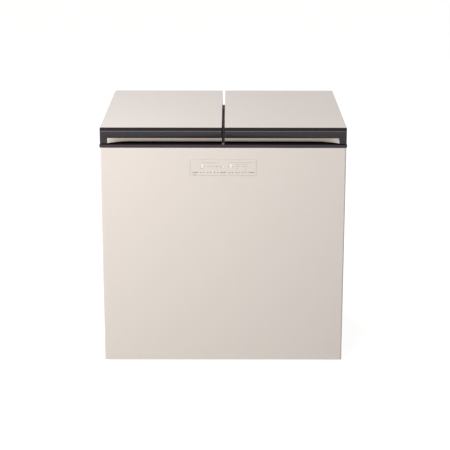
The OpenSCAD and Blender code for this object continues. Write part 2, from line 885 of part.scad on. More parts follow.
module filter_dryer() {
    color(copper) translate([dryer_x, dryer_y, dryer_z]) rotate_extrude() polygon([
        [0, 0], [4, 0], [4, 8], [11, 18], [11, dryer_h - 18], [4, dryer_h - 8], [4, dryer_h],
        [0, dryer_h]]);
}

module refrigerant_pipes() {
    end_gap = 0.3;
    high = machine_top - 30;
    low_y = condenser_y0 - 16;
    discharge_y = machine_y - 22;
    suction_y = machine_y + 22;
    color(copper) {
        // Discharge: compressor to condenser
        tube(bent([
            [stub_x - end_gap, discharge_y, compressor_z + 100],
            [stub_x - 22, discharge_y, compressor_z + 100],
            [stub_x - 22, discharge_y, high],
            [condenser_x + condenser_column, discharge_y, high],
            [condenser_x + condenser_column, low_y, high],
            [condenser_x + condenser_column, low_y, condenser_top],
            [condenser_x + condenser_column, condenser_y0 - end_gap, condenser_top]], 7),
            pipe_r, 8, [0.31, 0.52, 0.8]);
        // Liquid: condenser to dryer
        tube(bent([
            [condenser_x - condenser_column, condenser_y0 - end_gap, condenser_top],
            [condenser_x - condenser_column, low_y, condenser_top],
            [condenser_x - condenser_column, low_y, condenser_top + 44],
            [dryer_x, low_y, condenser_top + 44],
            [dryer_x, dryer_y, condenser_top + 44],
            [dryer_x, dryer_y, dryer_z + dryer_h + end_gap]], 7),
            pipe_r, 8, [0.31, 0.52, 0.8]);
        // Capillary: dryer to the evaporators
        tube(bent([
            [dryer_x, dryer_y, dryer_z - end_gap],
            [dryer_x, dryer_y, dryer_z - 40],
            [capillary_port_x, dryer_y, dryer_z - 40],
            [capillary_port_x, dryer_y, port_z],
            [capillary_port_x, wall_foot_y - 20, port_z]], 7),
            1.5, 6, [0.31, 0.52, 0.8]);
        // Suction: evaporators to compressor
        tube(bent([
            [suction_port_x, wall_foot_y - 20, port_z],
            [suction_port_x, wall_foot_y + 28, port_z],
            [stub_x - 12, wall_foot_y + 28, port_z],
            [stub_x - 12, suction_y, port_z],
            [stub_x - 12, suction_y, compressor_z + 78],
            [stub_x - end_gap, suction_y, compressor_z + 78]], 7),
            pipe_r, 8, [0.31, 0.52, 0.8]);
    }
}

module board_box() {
    wall = 2;
    color(white_plastic) {
        difference() {
            along_z(floor_z, floor_z + box_h)
                polygon(rounded_rect(box_x0, box_y0, box_x1, box_y1, 5));
            along_z(floor_z + wall, floor_z + box_h + 1) polygon(rounded_rect(
                box_x0 + wall, box_y0 + wall, box_x1 - wall, box_y1 - wall, 3));
            // Cable notch
            box([box_x0 - 1, box_notch[0], floor_z + box_h - 14],
                [box_x0 + 5, box_notch[1], floor_z + box_h + 1]);
        }
        for (x = [box_x0 + 12, box_x1 - 12], y = [box_y0 + 12, box_y1 - 12])
            translate([x, y, floor_z + 1]) cylinder(r = 4, h = 9);
    }
}

module main_board() {
    z = floor_z + 10;
    color(board_green) along_z(z, z + 1.6)
        polygon(rounded_rect(box_x0 + 5, box_y0 + 5, box_x1 - 5, box_y1 - 5, 2, 2));
    // Transformer, relays, capacitors and plugs
    color(black_plastic) {
        box([box_x0 + 14, box_y0 + 18, z + 1.4], [box_x0 + 54, box_y0 + 52, z + 34]);
        for (i = [0 : 2])
            box([box_x0 + 66, box_y0 + 18 + i * 22, z + 1.4],
                [box_x0 + 82, box_y0 + 34 + i * 22, z + 18]);
        for (i = [0 : 3])
            box([box_x0 + 16 + i * 24, box_y1 - 22, z + 1.4],
                [box_x0 + 32 + i * 24, box_y1 - 12, z + 12]);
    }
    color(aluminium) for (i = [0 : 2])
        translate([box_x0 + 100, box_y0 + 26 + i * 24, z + 1.4]) cylinder(r = 8, h = 26);
}

module board_box_cover() {
    color(white_plastic) difference() {
        along_z(floor_z + box_h - 8, floor_z + box_h + 2.5) polygon(rounded_rect(
            box_x0 - 2.4, box_y0 - 2.4, box_x1 + 2.4, box_y1 + 2.4, 7));
        along_z(floor_z + box_h - 9, floor_z + box_h) polygon(rounded_rect(
            box_x0 - 0.3, box_y0 - 0.3, box_x1 + 0.3, box_y1 + 0.3, 5));
        box([box_x0 - 4, box_notch[0], floor_z + box_h - 9],
            [box_x0 + 1, box_notch[1], floor_z + box_h - 3]);
    }
}

// ---- feet ----

socket_h = 46;

module foot_sockets() {
    color(galvanised) mirrored() translate([foot_x, foot_y, base_z + sheet]) difference() {
        rotate_extrude() polygon([
            [0, 0], [20, 0], [20, 2], [11, 2], [11, socket_h - 1], [10, socket_h], [0, socket_h]]);
        translate([0, 0, -1]) cylinder(r = stem_r + stem_fit, h = socket_h - 1);
    }
}

module foot() {
    color(black_plastic) translate([foot_x, foot_y, 0]) rotate_extrude() polygon([
        [0, 0], [foot_r - 1.5, 0], [foot_r, 1.5], [foot_r, 5], [foot_r - 6, 8.5], [10, 9.5],
        [10, 12], [stem_r, 12], [stem_r, 54], [stem_r - 1, 55], [0, 55]]);
}
module right_foot() foot();
module left_foot() mirror([1, 0, 0]) foot();

fork_w = roller_w + 2;

module roller_brackets() {
    wall = 2;
    ear = axle_r + 3;
    color(galvanised) mirrored() difference() {
        union() {
            box([foot_x - 24, roller_y - 18, rear_floor - wall],
                [foot_x + 24, roller_y + 18, rear_floor]);
            for (x = [foot_x - fork_w / 2 - wall, foot_x + fork_w / 2])
                along_x(x, x + wall) polygon(concat(
                    [[roller_y - 14, rear_floor - 1]],
                    arc(roller_y, roller_z, ear, 200, 340, 8),
                    [[roller_y + 14, rear_floor - 1]]));
        }
        rod_x(foot_x - 30, foot_x + 30, roller_y, roller_z, axle_r + 0.02);
    }
}

module roller_axles() {
    reach = fork_w / 2 + 2;
    color(aluminium) mirrored() {
        rod_x(foot_x - reach - 2, foot_x + reach, roller_y, roller_z, axle_r);
        rod_x(foot_x + reach + 0.2, foot_x + reach + 2, roller_y, roller_z, axle_r + 1.5);
        rod_x(foot_x + reach - 1, foot_x + reach + 1, roller_y, roller_z, axle_r - 1);
    }
}

module roller() {
    color(black_plastic) translate([foot_x, roller_y, roller_z]) rotate([0, 90, 0])
        difference() {
            rotate_extrude() polygon([
                [0, -roller_w / 2], [roller_r - 2, -roller_w / 2], [roller_r, -roller_w / 2 + 2],
                [roller_r, roller_w / 2 - 2], [roller_r - 2, roller_w / 2], [0, roller_w / 2]]);
            cylinder(r = axle_r + 0.08, h = roller_w + 2, center = true);
        }
}
module right_roller() roller();
module left_roller() mirror([1, 0, 0]) roller();

// ---- lids: the right one is drawn, and the left one mirrors it ----

module lid_plan() {
    along_z(lid_z - 5, lid_top + 5)
        polygon(rounded_rect(lid_x0, lid_y0, lid_x1, lid_y1, lid_corner_r));
}

module lid_panel() {
    r = 1.2;
    color(pearl) intersection() {
        along_z(panel_z0, lid_top + 1)
            polygon(rounded_rect(lid_x0, panel_y0, lid_x1, lid_y1, 2.5));
        along_x(lid_x0, lid_x1) polygon(concat(
            [[panel_y0, panel_z0 - 1], [lid_y1, panel_z0 - 1]],
            arc(lid_y1 - r, lid_top - r, r, 0, 90, 4), [[panel_y0, lid_top]]));
        along_y(panel_y0, lid_y1) polygon(concat(
            [[lid_x0, panel_z0 - 1], [lid_x1, panel_z0 - 1]],
            arc(lid_x1 - r, lid_top - r, r, 0, 90, 4),
            arc(lid_x0 + r, lid_top - r, r, 90, 180, 4)));
    }
}
module right_lid_panel() lid_panel();
module left_lid_panel() mirror([1, 0, 0]) lid_panel();

// The finger space under the front edge, with its walls grown by grow
module finger_recess(grow = 0) {
    along_x(lid_x0 + frame_wall - grow, lid_x1 - grip_end + grow) polygon([
        [lid_y0 - 2, lid_z - 2], [recess_y + grow, lid_z - 2],
        [recess_y + grow, grip_top + grow], [lid_y0 - 2, grip_top + grow]]);
}

// The pockets round the hinge brackets
module hinge_pockets(grow = 0) {
    for (x = hinge_xs)
        along_x(x - pocket_w / 2 - grow, x + pocket_w / 2 + grow) polygon([
            [pocket_front - grow, lid_z - 2], [lid_y1 + 2, lid_z - 2],
            [lid_y1 + 2, pocket_z + grow], [pocket_front - grow, pocket_z + grow]]);
}

// The space inside the lid frame
module lid_hollow() {
    w = frame_wall;
    difference() {
        along_x(lid_x0 + w, lid_x1 - w) polygon([
            [lid_y0 + w, lid_z - 1], [lid_y0 + w, lid_top - bevel_h - 1],
            [lid_y0 + bevel_d + w, panel_z0 - w], [lid_y1 - w, panel_z0 - w],
            [lid_y1 - w, hinge_z + 8], [hinge_y - 8, hinge_z + 2], [hinge_y - 8, lid_z - 1]]);
        finger_recess(w);
        hinge_pockets(w);
    }
}

module lid_frame() {
    foot = [lid_y0, lid_z];
    brow = [lid_y0, lid_top - bevel_h];
    crest = [lid_y0 + bevel_d, lid_top];
    land = [panel_y0, lid_top];
    color(charcoal) intersection() {
        lid_plan();
        difference() {
            along_x(lid_x0, lid_x1) polygon(concat(
                eased([hinge_y, lid_z], foot, brow, front_ease),
                eased(foot, brow, crest, front_ease),
                eased(brow, crest, land, min(front_ease, bevel_land * 0.7)),
                [land, [panel_y0, panel_z0], [lid_y1, panel_z0]],
                arc(hinge_y, hinge_z, hinge_r, 0, -90, 8)));
            lid_hollow();
            finger_recess();
            // The strip's inner end covers the wall beside the gap
            box([lid_x0 - 1, lid_y0 - 1, lid_z - 1],
                [lid_x0 + frame_wall + 1, lid_y0 + grip_shelf + 1, grip_top]);
            hinge_pockets();
        }
    }
}
module right_lid_frame() lid_frame();
module left_lid_frame() mirror([1, 0, 0]) lid_frame();

// Depth of the strip's upper edge, which lies against the frame
grip_shelf = 10;

// The grip strip's section at x: upright and deep at the outer end, leaning back elsewhere
function grip_ring(x) =
    let (from_end = lid_x1 - grip_end - x,
        s = pow(max(0, 1 - from_end / grip_sweep), 2),
        y0 = lid_y0 + 0.3,
        lean = grip_lean * (1 - s),
        low = grip_top - grip_h - grip_drop * s,
        height = grip_top - low,
        tip_r = grip_wall / 2,
        tip_y = y0 + lean + tip_r)
    [for (p = concat(
        [[y0, grip_top], [y0 + lean * 0.12, grip_top - height * 0.3],
            [y0 + lean * 0.45, grip_top - height * 0.62]],
        arc(tip_y, low + tip_r, tip_r, 180, 360, 4),
        [[y0 + lean * 0.45 + grip_wall, grip_top - height * 0.55],
            [y0 + grip_wall + 1, grip_top - grip_wall],
            [y0 + grip_shelf, grip_top - grip_wall], [y0 + grip_shelf, grip_top]]))
        [x, p[0], p[1]]];

module lid_grip() {
    steps = 12;
    x_out = lid_x1 - grip_end - 0.1;
    swept = [for (i = [steps : -1 : 0]) x_out - grip_sweep * i / steps];
    color(pearl) loft([for (x = concat([lid_x0], swept)) grip_ring(x)]);
}
module right_lid_grip() lid_grip();
module left_lid_grip() mirror([1, 0, 0]) lid_grip();

// A rectangular ring round the mouth, off the mouth's edge by out
module mouth_ring(out, w, z0, z1) {
    along_z(z0, z1) difference() {
        polygon(mouth_outline(mouth_in - out - w / 2));
        polygon(mouth_outline(mouth_in - out + w / 2));
    }
}

dart_w = 2.4;
dart_h = 5;

// The plug's solid form, with its lower edges rounded
module plug_block(inset, z0, z1) {
    r = plug_edge_r - inset;
    edge = plug_in + inset;
    intersection() {
        along_z(z0, z1) polygon(mouth_outline(edge));
        along_x(0, lid_x1) polygon(trough(tub_y0 + edge, tub_y1 - edge, z0, z1 + 1, r));
        along_y(lid_y0, lid_y1) polygon(
            trough(lid_cx - tub_hw + edge, lid_cx + tub_hw - edge, z0, z1 + 1, r));
    }
}

module lid_liner() {
    color(white_plastic) difference() {
        union() {
            intersection() {
                lid_hollow();
                box([0, lid_y0, lid_z], [lid_x1, lid_y1, lid_z + liner_wall]);
            }
            plug_block(0, lid_z - plug_h, lid_z + 1);
            mouth_ring(gasket_out, dart_w + 4.6, lid_z + 0.5, lid_z + dart_h + 2.6);
        }
        plug_block(liner_wall, lid_z - plug_h + liner_wall, lid_z + liner_wall + 1);
        mouth_ring(gasket_out, dart_w + 1, lid_z - 1, lid_z + dart_h + 0.6);
    }
}
module right_lid_liner() lid_liner();
module left_lid_liner() mirror([1, 0, 0]) lid_liner();

module lid_foam() {
    color(foam_yellow) {
        difference() {
            intersection() {
                lid_hollow();
                box([0, lid_y0, lid_z + liner_wall], [lid_x1, lid_y1, lid_top]);
            }
            mouth_ring(gasket_out, dart_w + 4.6, lid_z - 1, lid_z + dart_h + 2.6);
        }
        plug_block(liner_wall, lid_z - plug_h + liner_wall, lid_z + liner_wall + 1);
    }
}
module right_lid_foam() lid_foam();
module left_lid_foam() mirror([1, 0, 0]) lid_foam();

module lid_gasket() {
    // Seen from the outer edge inwards: a soft flat bulb with a barbed dart on top
    w = gasket_w;
    h = lid_rest - gasket_fit;
    mid = w / 2;
    profile = concat(
        arc(2, 1.6, 1.6, 180, 270, 3), arc(w - 2, 1.6, 1.6, 270, 360, 3),
        [[w - 0.6, h], [mid + dart_w / 2 - 0.5, h], [mid + dart_w / 2 - 0.5, h + 2],
            [mid + dart_w / 2, h + 2], [mid, h + dart_h], [mid - dart_w / 2, h + 2],
            [mid - dart_w / 2 + 0.5, h + 2], [mid - dart_w / 2 + 0.5, h], [0.6, h]]);
    out = gasket_out + w / 2 - mouth_in;
    color(charcoal) translate([0, 0, deck_z + gasket_fit])
        swept_ring(lid_cx - tub_hw - out, tub_y0 - out, lid_cx + tub_hw + out, tub_y1 + out,
            tub_corner_r + out)
            polygon(profile);
}
module right_lid_gasket() lid_gasket();
module left_lid_gasket() mirror([1, 0, 0]) lid_gasket();

// ---- hinges ----

// Across each bracket: the barrel runs on the left half of the pin and the spring on the right
ear_in = bracket_w / 2 - ear_t;
barrel_x0 = -ear_in + 0.3;
barrel_x1 = -3;
spring_x0 = -1.2;
spring_r = pin_r + 0.6 + spring_wire / 2;
spring_pitch = (ear_in - 0.5 - spring_wire / 2 - spring_x0) / spring_turns;

module at_hinges() {
    for (x = hinge_xs)
        translate([x, hinge_y, hinge_z]) children();
}

module hinge_brackets() {
    base = -hinge_z + deck_z;
    ear_r = barrel_r + 0.5;
    color(galvanised) mirrored() at_hinges() difference() {
        union() {
            box([-bracket_w / 2, -27, base], [bracket_w / 2, hinge_r - 0.5, base + 2]);
            for (x = [-bracket_w / 2, bracket_w / 2 - ear_t])
                along_x(x, x + ear_t) polygon(concat(
                    [[hinge_r - 0.5, base + 1]], arc(0, 0, ear_r, 0, 180, 10),
                    [[-ear_r - 6, base + 1]]));
        }
        rod_x(-bracket_w, bracket_w, 0, 0, pin_r + 0.02);
    }
}

module hinge_pins() {
    color(aluminium) mirrored() at_hinges() {
        rod_x(-bracket_w / 2 - 1.5, bracket_w / 2 + 0.1, 0, 0, pin_r);
        rod_x(bracket_w / 2 + 0.1, bracket_w / 2 + 2, 0, 0, pin_r + 1.5);
    }
}

module hinge_leaf() {
    ceiling = pocket_z - hinge_z;
    plate_y0 = pocket_front - hinge_y + 1;
    color(galvanised) difference() {
        union() {
            rod_x(barrel_x0, barrel_x1, 0, 0, barrel_r);
            along_x(barrel_x0, barrel_x1) polygon([
                [-barrel_r + 0.4, 0], [barrel_r - 2, 2], [4, ceiling - 1], [-14, ceiling - 1]]);
            box([-bracket_w / 2, plate_y0, ceiling - 2.5], [bracket_w / 2, 6, ceiling]);
        }
        rod_x(-bracket_w, bracket_w, 0, 0, pin_r + pin_fit);
    }
}
module right_hinge_leaves() at_hinges() hinge_leaf();
module left_hinge_leaves() mirror([1, 0, 0]) at_hinges() hinge_leaf();

// A torsion spring round the pin: one leg lies on the bracket, the other waits under the leaf
spring_path = let (
        per_turn = 8,
        count = spring_turns * per_turn,
        coil = [for (i = [0 : count])
            let (a = 270 - 360 * i / per_turn)
            [spring_x0 + spring_pitch * i / per_turn, spring_r * cos(a), spring_r * sin(a)]])
    concat(
        [[spring_x0, -20, -spring_r - 0.8]],
        [[spring_x0, -10, -spring_r - 0.4]],
        coil,
        [[spring_x0 + spring_pitch * spring_turns, -9, -spring_r + 0.5]],
        [[spring_x0 + spring_pitch * spring_turns, -17, -spring_r + 6]]);

module hinge_springs() {
    color(aluminium) mirrored() at_hinges() tube(spring_path, spring_wire / 2, 6, [1, 0, 0]);
}
echo("least gap of a hinge spring to itself", winding_gap(spring_path, spring_wire, 6));

// ---- containers ----

module container_plan(inset) {
    polygon(rounded_rect(lid_cx - container_hw + inset, container_y0 + inset,
        lid_cx + container_hw - inset, container_y1 - inset, max(container_corner_r - inset, 3)));
}

// The body's solid form from z0 up; its walls lean in towards a rounded floor
module container_block(inset, z0) {
    edge = container_rim + inset;
    r = container_floor_r - inset;
    top = container_h + 1;
    intersection() {
        along_z(z0, top) container_plan(edge);
        along_x(0, lid_x1) polygon(trough(
            container_y0 + edge, container_y1 - edge, z0, top, r, container_draft));
        along_y(lid_y0, lid_y1) polygon(trough(
            lid_cx - container_hw + edge, lid_cx + container_hw - edge, z0, top, r,
            container_draft));
    }
}

module container() {
    rim_z = container_h - 9;
    rib_z = rim_z - 22;
    rib_h = 3;
    foot_in = container_rim + container_draft + container_floor_r + 5;
    color(smoked) translate([0, 0, container_z]) difference() {
        union() {
            intersection() {
                container_block(0, 0);
                along_z(0, container_h) container_plan(0);
            }
            // The rim that the clips hook under, and a stiffening rib below it
            along_z(rim_z, rim_z + rib_h) container_plan(2);
            intersection() {
                along_z(rib_z, rib_z + rib_h) container_plan(container_rim - 2.5);
                container_block(-2, 0);
            }
        }
        container_block(container_wall, container_wall);
        along_z(-1, 1) container_plan(foot_in);
    }
}
module right_container() container();
module left_container() mirror([1, 0, 0]) container();

module container_lid() {
    clip_w = 70;
    clip_in = 6;
    under = container_h + 0.3;
    top = under + 4;
    middle_y = (container_y0 + container_y1) / 2;
    color(white_plastic) translate([0, 0, container_z]) {
        difference() {
            along_z(under - 5, top) container_plan(2.5);
            along_z(under - 6, under) container_plan(container_rim - 0.5);
            // A sunk field, with a raised pad in it for stacking
            along_z(under + 2.5, top + 1) container_plan(container_rim + 14);
        }
        along_z(under + 1, top - 0.2) container_plan(container_rim + 30);
        // Clips that fold down over the rim on both sides
        for (side = [-1, 1]) {
            edge = lid_cx + side * container_hw;
            for (piece = [[1.8, under - 24], [clip_in, under + 1]]) {
                inner = edge - side * piece[0];
                box([min(edge, inner), middle_y - clip_w / 2, piece[1]],
                    [max(edge, inner), middle_y + clip_w / 2, top]);
            }
        }
    }
}
module right_container_lid() container_lid();
module left_container_lid() mirror([1, 0, 0]) container_lid();

front_panel();
left_side_panel();
right_side_panel();
back_panel();
rear_cover();
rear_cover_screws();
cord_gland();
base_pan();
machine_wall();
cabinet_foam();
top_frame();
left_tub();
right_tub();
left_evaporator_coil();
right_evaporator_coil();
control_window();
display_board();
display_case();
compressor();
compressor_mounts();
compressor_relay_cover();
condenser_tube();
condenser_fins();
fan_shroud();
fan_motor();
fan_rotor();
filter_dryer();
refrigerant_pipes();
board_box();
main_board();
board_box_cover();
foot_sockets();
left_foot();
right_foot();
roller_brackets();
roller_axles();
left_roller();
right_roller();
left_lid_panel();
right_lid_panel();
left_lid_frame();
right_lid_frame();
left_lid_grip();
right_lid_grip();
left_lid_liner();
right_lid_liner();
left_lid_foam();
right_lid_foam();
left_lid_gasket();
right_lid_gasket();
left_hinge_leaves();
right_hinge_leaves();
hinge_brackets();
hinge_pins();
hinge_springs();
left_container();
right_container();
left_container_lid();
right_container_lid();
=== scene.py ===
# Two-lid chest refrigerator for kimchi: finishes, printed marks and small fixings
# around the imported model. Metres, X right, Y back, Z up.
import math

import bmesh
import bpy
from mathutils import Matrix, Vector


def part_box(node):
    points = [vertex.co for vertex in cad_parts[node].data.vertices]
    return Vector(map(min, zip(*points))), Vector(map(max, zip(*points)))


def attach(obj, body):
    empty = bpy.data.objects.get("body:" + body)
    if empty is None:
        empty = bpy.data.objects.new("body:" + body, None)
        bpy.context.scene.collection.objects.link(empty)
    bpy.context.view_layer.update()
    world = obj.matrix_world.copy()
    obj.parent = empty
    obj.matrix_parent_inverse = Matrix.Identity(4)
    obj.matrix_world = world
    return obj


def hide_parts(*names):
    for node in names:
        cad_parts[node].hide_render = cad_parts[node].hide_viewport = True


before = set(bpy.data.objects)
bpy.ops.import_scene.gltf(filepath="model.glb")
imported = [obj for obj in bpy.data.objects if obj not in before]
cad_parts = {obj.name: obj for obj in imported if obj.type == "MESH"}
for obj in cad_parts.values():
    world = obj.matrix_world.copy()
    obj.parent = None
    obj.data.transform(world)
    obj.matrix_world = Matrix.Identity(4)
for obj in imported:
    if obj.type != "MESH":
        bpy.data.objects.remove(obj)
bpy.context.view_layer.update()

scene = bpy.context.scene
sides = {"left": -1, "right": 1}


# Helpers for colours and shader nodes

def tint(code):
    # hex sRGB to linear colour
    channels = [int(code[i:i + 2], 16) / 255 for i in (1, 3, 5)]
    linear = [c / 12.92 if c < 0.04045 else ((c + 0.055) / 1.055) ** 2.4 for c in channels]
    return linear + [1.0]


def shaderOf(material):
    return material.node_tree.nodes["Principled BSDF"]


def newMaterial(name, colour, sockets):
    material = bpy.data.materials.new(name)
    material.use_nodes = True
    material.diffuse_color = tint(colour)
    inputs = shaderOf(material).inputs
    inputs["Base Color"].default_value = tint(colour)
    for socket, value in sockets.items():
        inputs[socket].default_value = value
    return material


def addNode(material, kind, inputs=None, **settings):
    node = material.node_tree.nodes.new(kind)
    for key, value in settings.items():
        setattr(node, key, value)
    for key, value in (inputs or {}).items():
        node.inputs[key].default_value = value
    return node


def wire(material, source, target):
    material.node_tree.links.new(source, target)


def grain(material, size, detail=2, stretch=(1, 1, 1), kind="ShaderNodeTexNoise"):
    # a texture whose blobs are about size metres across, stretched along any axis
    coords = addNode(material, "ShaderNodeTexCoord")
    mapping = addNode(material, "ShaderNodeMapping", {"Scale": stretch})
    texture = addNode(material, kind, {"Scale": 1 / size, "Detail": detail})
    wire(material, coords.outputs["Object"], mapping.inputs["Vector"])
    wire(material, mapping.outputs["Vector"], texture.inputs["Vector"])
    return texture


def outOf(texture):
    return texture.outputs.get("Fac") or texture.outputs["Distance"]


def mixColours(material, factor, dark, light, low=0.35, high=0.65):
    # factor below low gives the dark colour, above high the light one
    ramp = addNode(material, "ShaderNodeValToRGB")
    first, last = ramp.color_ramp.elements
    first.position, first.color = low, tint(dark)
    last.position, last.color = high, tint(light)
    wire(material, factor, ramp.inputs["Fac"])
    wire(material, ramp.outputs["Color"], shaderOf(material).inputs["Base Color"])


def mixRoughness(material, factor, low, high):
    # noise seldom leaves 0.3 to 0.7, so that span covers low to high
    spread = addNode(material, "ShaderNodeMapRange", {
        "From Min": 0.3, "From Max": 0.7, "To Min": low, "To Max": high})
    wire(material, factor, spread.inputs["Value"])
    wire(material, spread.outputs["Result"], shaderOf(material).inputs["Roughness"])


def addBump(material, height, depth):
    # depth is in metres
    bump = addNode(material, "ShaderNodeBump", {"Distance": depth, "Strength": 1})
    wire(material, height, bump.inputs["Height"])
    wire(material, bump.outputs["Normal"], shaderOf(material).inputs["Normal"])


def facingMask(material, direction, low, high):
    # 1 where the surface faces a direction, 0 where it doesn't
    coords = addNode(material, "ShaderNodeTexCoord")
    facing = addNode(material, "ShaderNodeVectorMath", {1: direction}, operation="DOT_PRODUCT")
    wire(material, coords.outputs["Normal"], facing.inputs[0])
    mask = addNode(material, "ShaderNodeMapRange", {"From Min": low, "From Max": high})
    wire(material, facing.outputs["Value"], mask.inputs["Value"])
    return mask.outputs["Result"]


def distanceFrom(material, axis, place):
    # how far a point is from a place along one axis, in metres
    coords = addNode(material, "ShaderNodeTexCoord")
    parts = addNode(material, "ShaderNodeSeparateXYZ")
    wire(material, coords.outputs["Object"], parts.inputs["Vector"])
    away = addNode(material, "ShaderNodeMath", {1: place}, operation="SUBTRACT")
    wire(material, parts.outputs[axis], away.inputs[0])
    distance = addNode(material, "ShaderNodeMath", operation="ABSOLUTE")
    wire(material, away.outputs[0], distance.inputs[0])
    return distance.outputs[0]


def layOver(material, mask, colour):
    # a second colour over the one that is wired already, where the mask is 1
    base = shaderOf(material).inputs["Base Color"]
    over = addNode(material, "ShaderNodeMixRGB", {"Color2": tint(colour)})
    wire(material, mask, over.inputs["Fac"])
    wire(material, base.links[0].from_socket, over.inputs["Color1"])
    wire(material, over.outputs["Color"], base)


def paint(material, *nodes):
    for name in nodes:
        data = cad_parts[name].data
        data.materials.clear()
        data.materials.append(material)


def bothSides(name):
    return [f"{side}_{name}" for side in sides]


# Helpers for meshes

def finishPiece(name, mesh, body, material, smoothAngle=35):
    # turns a bmesh into an object at the origin that rides on a body
    data = bpy.data.meshes.new(name)
    mesh.to_mesh(data)
    mesh.free()
    piece = bpy.data.objects.new(name, data)
    scene.collection.objects.link(piece)
    data.materials.append(material)
    data.shade_smooth()
    data.set_sharp_from_angle(angle=math.radians(smoothAngle))
    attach(piece, body)
    return piece


def sinkMesh(mesh, source, places):
    # adds a copy of the bmesh source at each matrix in places
    data = bpy.data.meshes.new("copy")
    source.to_mesh(data)
    source.free()
    for place in places:
        before = len(mesh.verts)
        mesh.from_mesh(data)
        mesh.verts.ensure_lookup_table()
        bmesh.ops.transform(mesh, matrix=place, verts=mesh.verts[before:])
    bpy.data.meshes.remove(data)


def turned(outline, steps):
    # full turn of a (radius, height) outline about Z, closed at the poles
    mesh = bmesh.new()
    verts = [mesh.verts.new((radius, 0, height)) for radius, height in outline]
    edges = [mesh.edges.new(pair) for pair in zip(verts, verts[1:])]
    bmesh.ops.spin(mesh, geom=verts + edges, cent=(0, 0, 0), axis=(0, 0, 1),
                   angle=math.tau, steps=steps, use_merge=True)
    bmesh.ops.remove_doubles(mesh, verts=mesh.verts, dist=1e-6)
    bmesh.ops.recalc_face_normals(mesh, faces=mesh.faces)
    return mesh


def easeEdges(mesh, edges, size, segments):
    bmesh.ops.bevel(mesh, geom=edges, offset=size, offset_type="OFFSET", affect="EDGES",
                    segments=segments, profile=0.5, material=-1, clamp_overlap=True)


def slab(size, corner, segments):
    # a block with its four upright edges rounded, centred on the origin
    mesh = bmesh.new()
    bmesh.ops.create_cube(mesh, size=1)
    bmesh.ops.scale(mesh, verts=mesh.verts, vec=size)
    upright = [e for e in mesh.edges if abs(e.verts[0].co.z - e.verts[1].co.z) > size[2] / 2]
    easeEdges(mesh, upright, corner, segments)
    return mesh


def topFace(faces):
    return max(faces, key=lambda face: face.calc_center_median().z)


# Camera at the photograph's angle

cameraValues = {
    "place": (0.0172, -5.51, 2.01534),
    "pitch": 15.87,   # degrees below level
    "turn": 0.13,
    "roll": 0.05,
    "lens": 111.85,   # millimetres, like the sensor
    "sensor": 36,
    "reach": 200,     # past the far end of the floor
}


def makeCamera(v):
    data = bpy.data.cameras.new("camera")
    data.sensor_width = v["sensor"]
    data.lens = v["lens"]
    data.clip_end = v["reach"]
    camera = bpy.data.objects.new("camera", data)
    camera.location = v["place"]
    camera.rotation_euler = [math.radians(a) for a in (90 - v["pitch"], -v["roll"], v["turn"])]
    scene.collection.objects.link(camera)
    scene.camera = camera


makeCamera(cameraValues)
print("camera placed")


# White studio: a wide pale floor, soft lamps and an even surround

studioValues = {
    "floorSize": 80,
    "floorColour": "#b2b1af",
    "floorRoughness": 0.9,
    "floorGlow": 0.86,   # camera sees the floor this much brighter than it is lit
    "surround": 0.30,
    "aim": (0, 0, 0.5),
    "lamps": {
        # name: (place, size, power)
        "key": ((-2.4, -3.0, 2.5), 1.2, 96),
        "front": ((-1.3, -3.8, 2.9), 1.4, 77),
        "back": ((-1.2, 3.6, 4.6), 2.0, 91),
    },
}


def backgroundRays(tree):
    # 1 for the rays that should meet a pure white background
    path = tree.nodes.new("ShaderNodeLightPath")
    seen = path.outputs["Is Camera Ray"]
    for name in ("Is Glossy Ray", "Is Transmission Ray"):
        either = tree.nodes.new("ShaderNodeMath")
        either.operation = "MAXIMUM"
        tree.links.new(seen, either.inputs[0])
        tree.links.new(path.outputs[name], either.inputs[1])
        seen = either.outputs[0]
    return seen


def makeSurround(v):
    world = bpy.data.worlds.new("studio")
    world.use_nodes = True
    scene.world = world
    tree = world.node_tree
    spread = tree.nodes.new("ShaderNodeMapRange")
    spread.inputs["To Min"].default_value = v["surround"]
    spread.inputs["To Max"].default_value = 1
    tree.links.new(backgroundRays(tree), spread.inputs["Value"])
    background = tree.nodes["Background"]
    background.inputs["Color"].default_value = tint("#ffffff")
    tree.links.new(spread.outputs["Result"], background.inputs["Strength"])


def makeFloor(v):
    mesh = bmesh.new()
    bmesh.ops.create_grid(mesh, x_segments=1, y_segments=1, size=v["floorSize"] / 2)
    data = bpy.data.meshes.new("floor")
    mesh.to_mesh(data)
    mesh.free()
    floor = bpy.data.objects.new("floor", data)
    scene.collection.objects.link(floor)
    material = newMaterial("floor", v["floorColour"], {
        "Roughness": v["floorRoughness"],
        "Specular IOR Level": 0,
        "Emission Color": tint("#ffffff"),
    })
    glow = addNode(material, "ShaderNodeMath", {1: v["floorGlow"]}, operation="MULTIPLY")
    wire(material, backgroundRays(material.node_tree), glow.inputs[0])
    wire(material, glow.outputs[0], shaderOf(material).inputs["Emission Strength"])
    data.materials.append(material)


def makeLamps(v):
    for name, (place, size, power) in v["lamps"].items():
        data = bpy.data.lights.new(name, "AREA")
        data.size = size
        data.energy = power
        lamp = bpy.data.objects.new(name, data)
        lamp.location = place
        towards = Vector(v["aim"]) - lamp.location
        lamp.rotation_euler = towards.to_track_quat("-Z", "Y").to_euler()
        scene.collection.objects.link(lamp)


makeSurround(studioValues)
makeFloor(studioValues)
makeLamps(studioValues)
scene.view_settings.view_transform = "Standard"
print("studio lit")


# Painted steel

pearlValues = {
    "colour": "#dad1ca",
    "shade": "#d5ccc5",
    "roughness": (0.40, 0.48),
    "gloss": 0.35,
    "coat": 0.03,
    "coatRoughness": 0.3,
    "driftSize": 0.14,
    "flakeSize": 0.0005,
    "peelSize": 0.0018,
    "peelDepth": 0.000012,
}

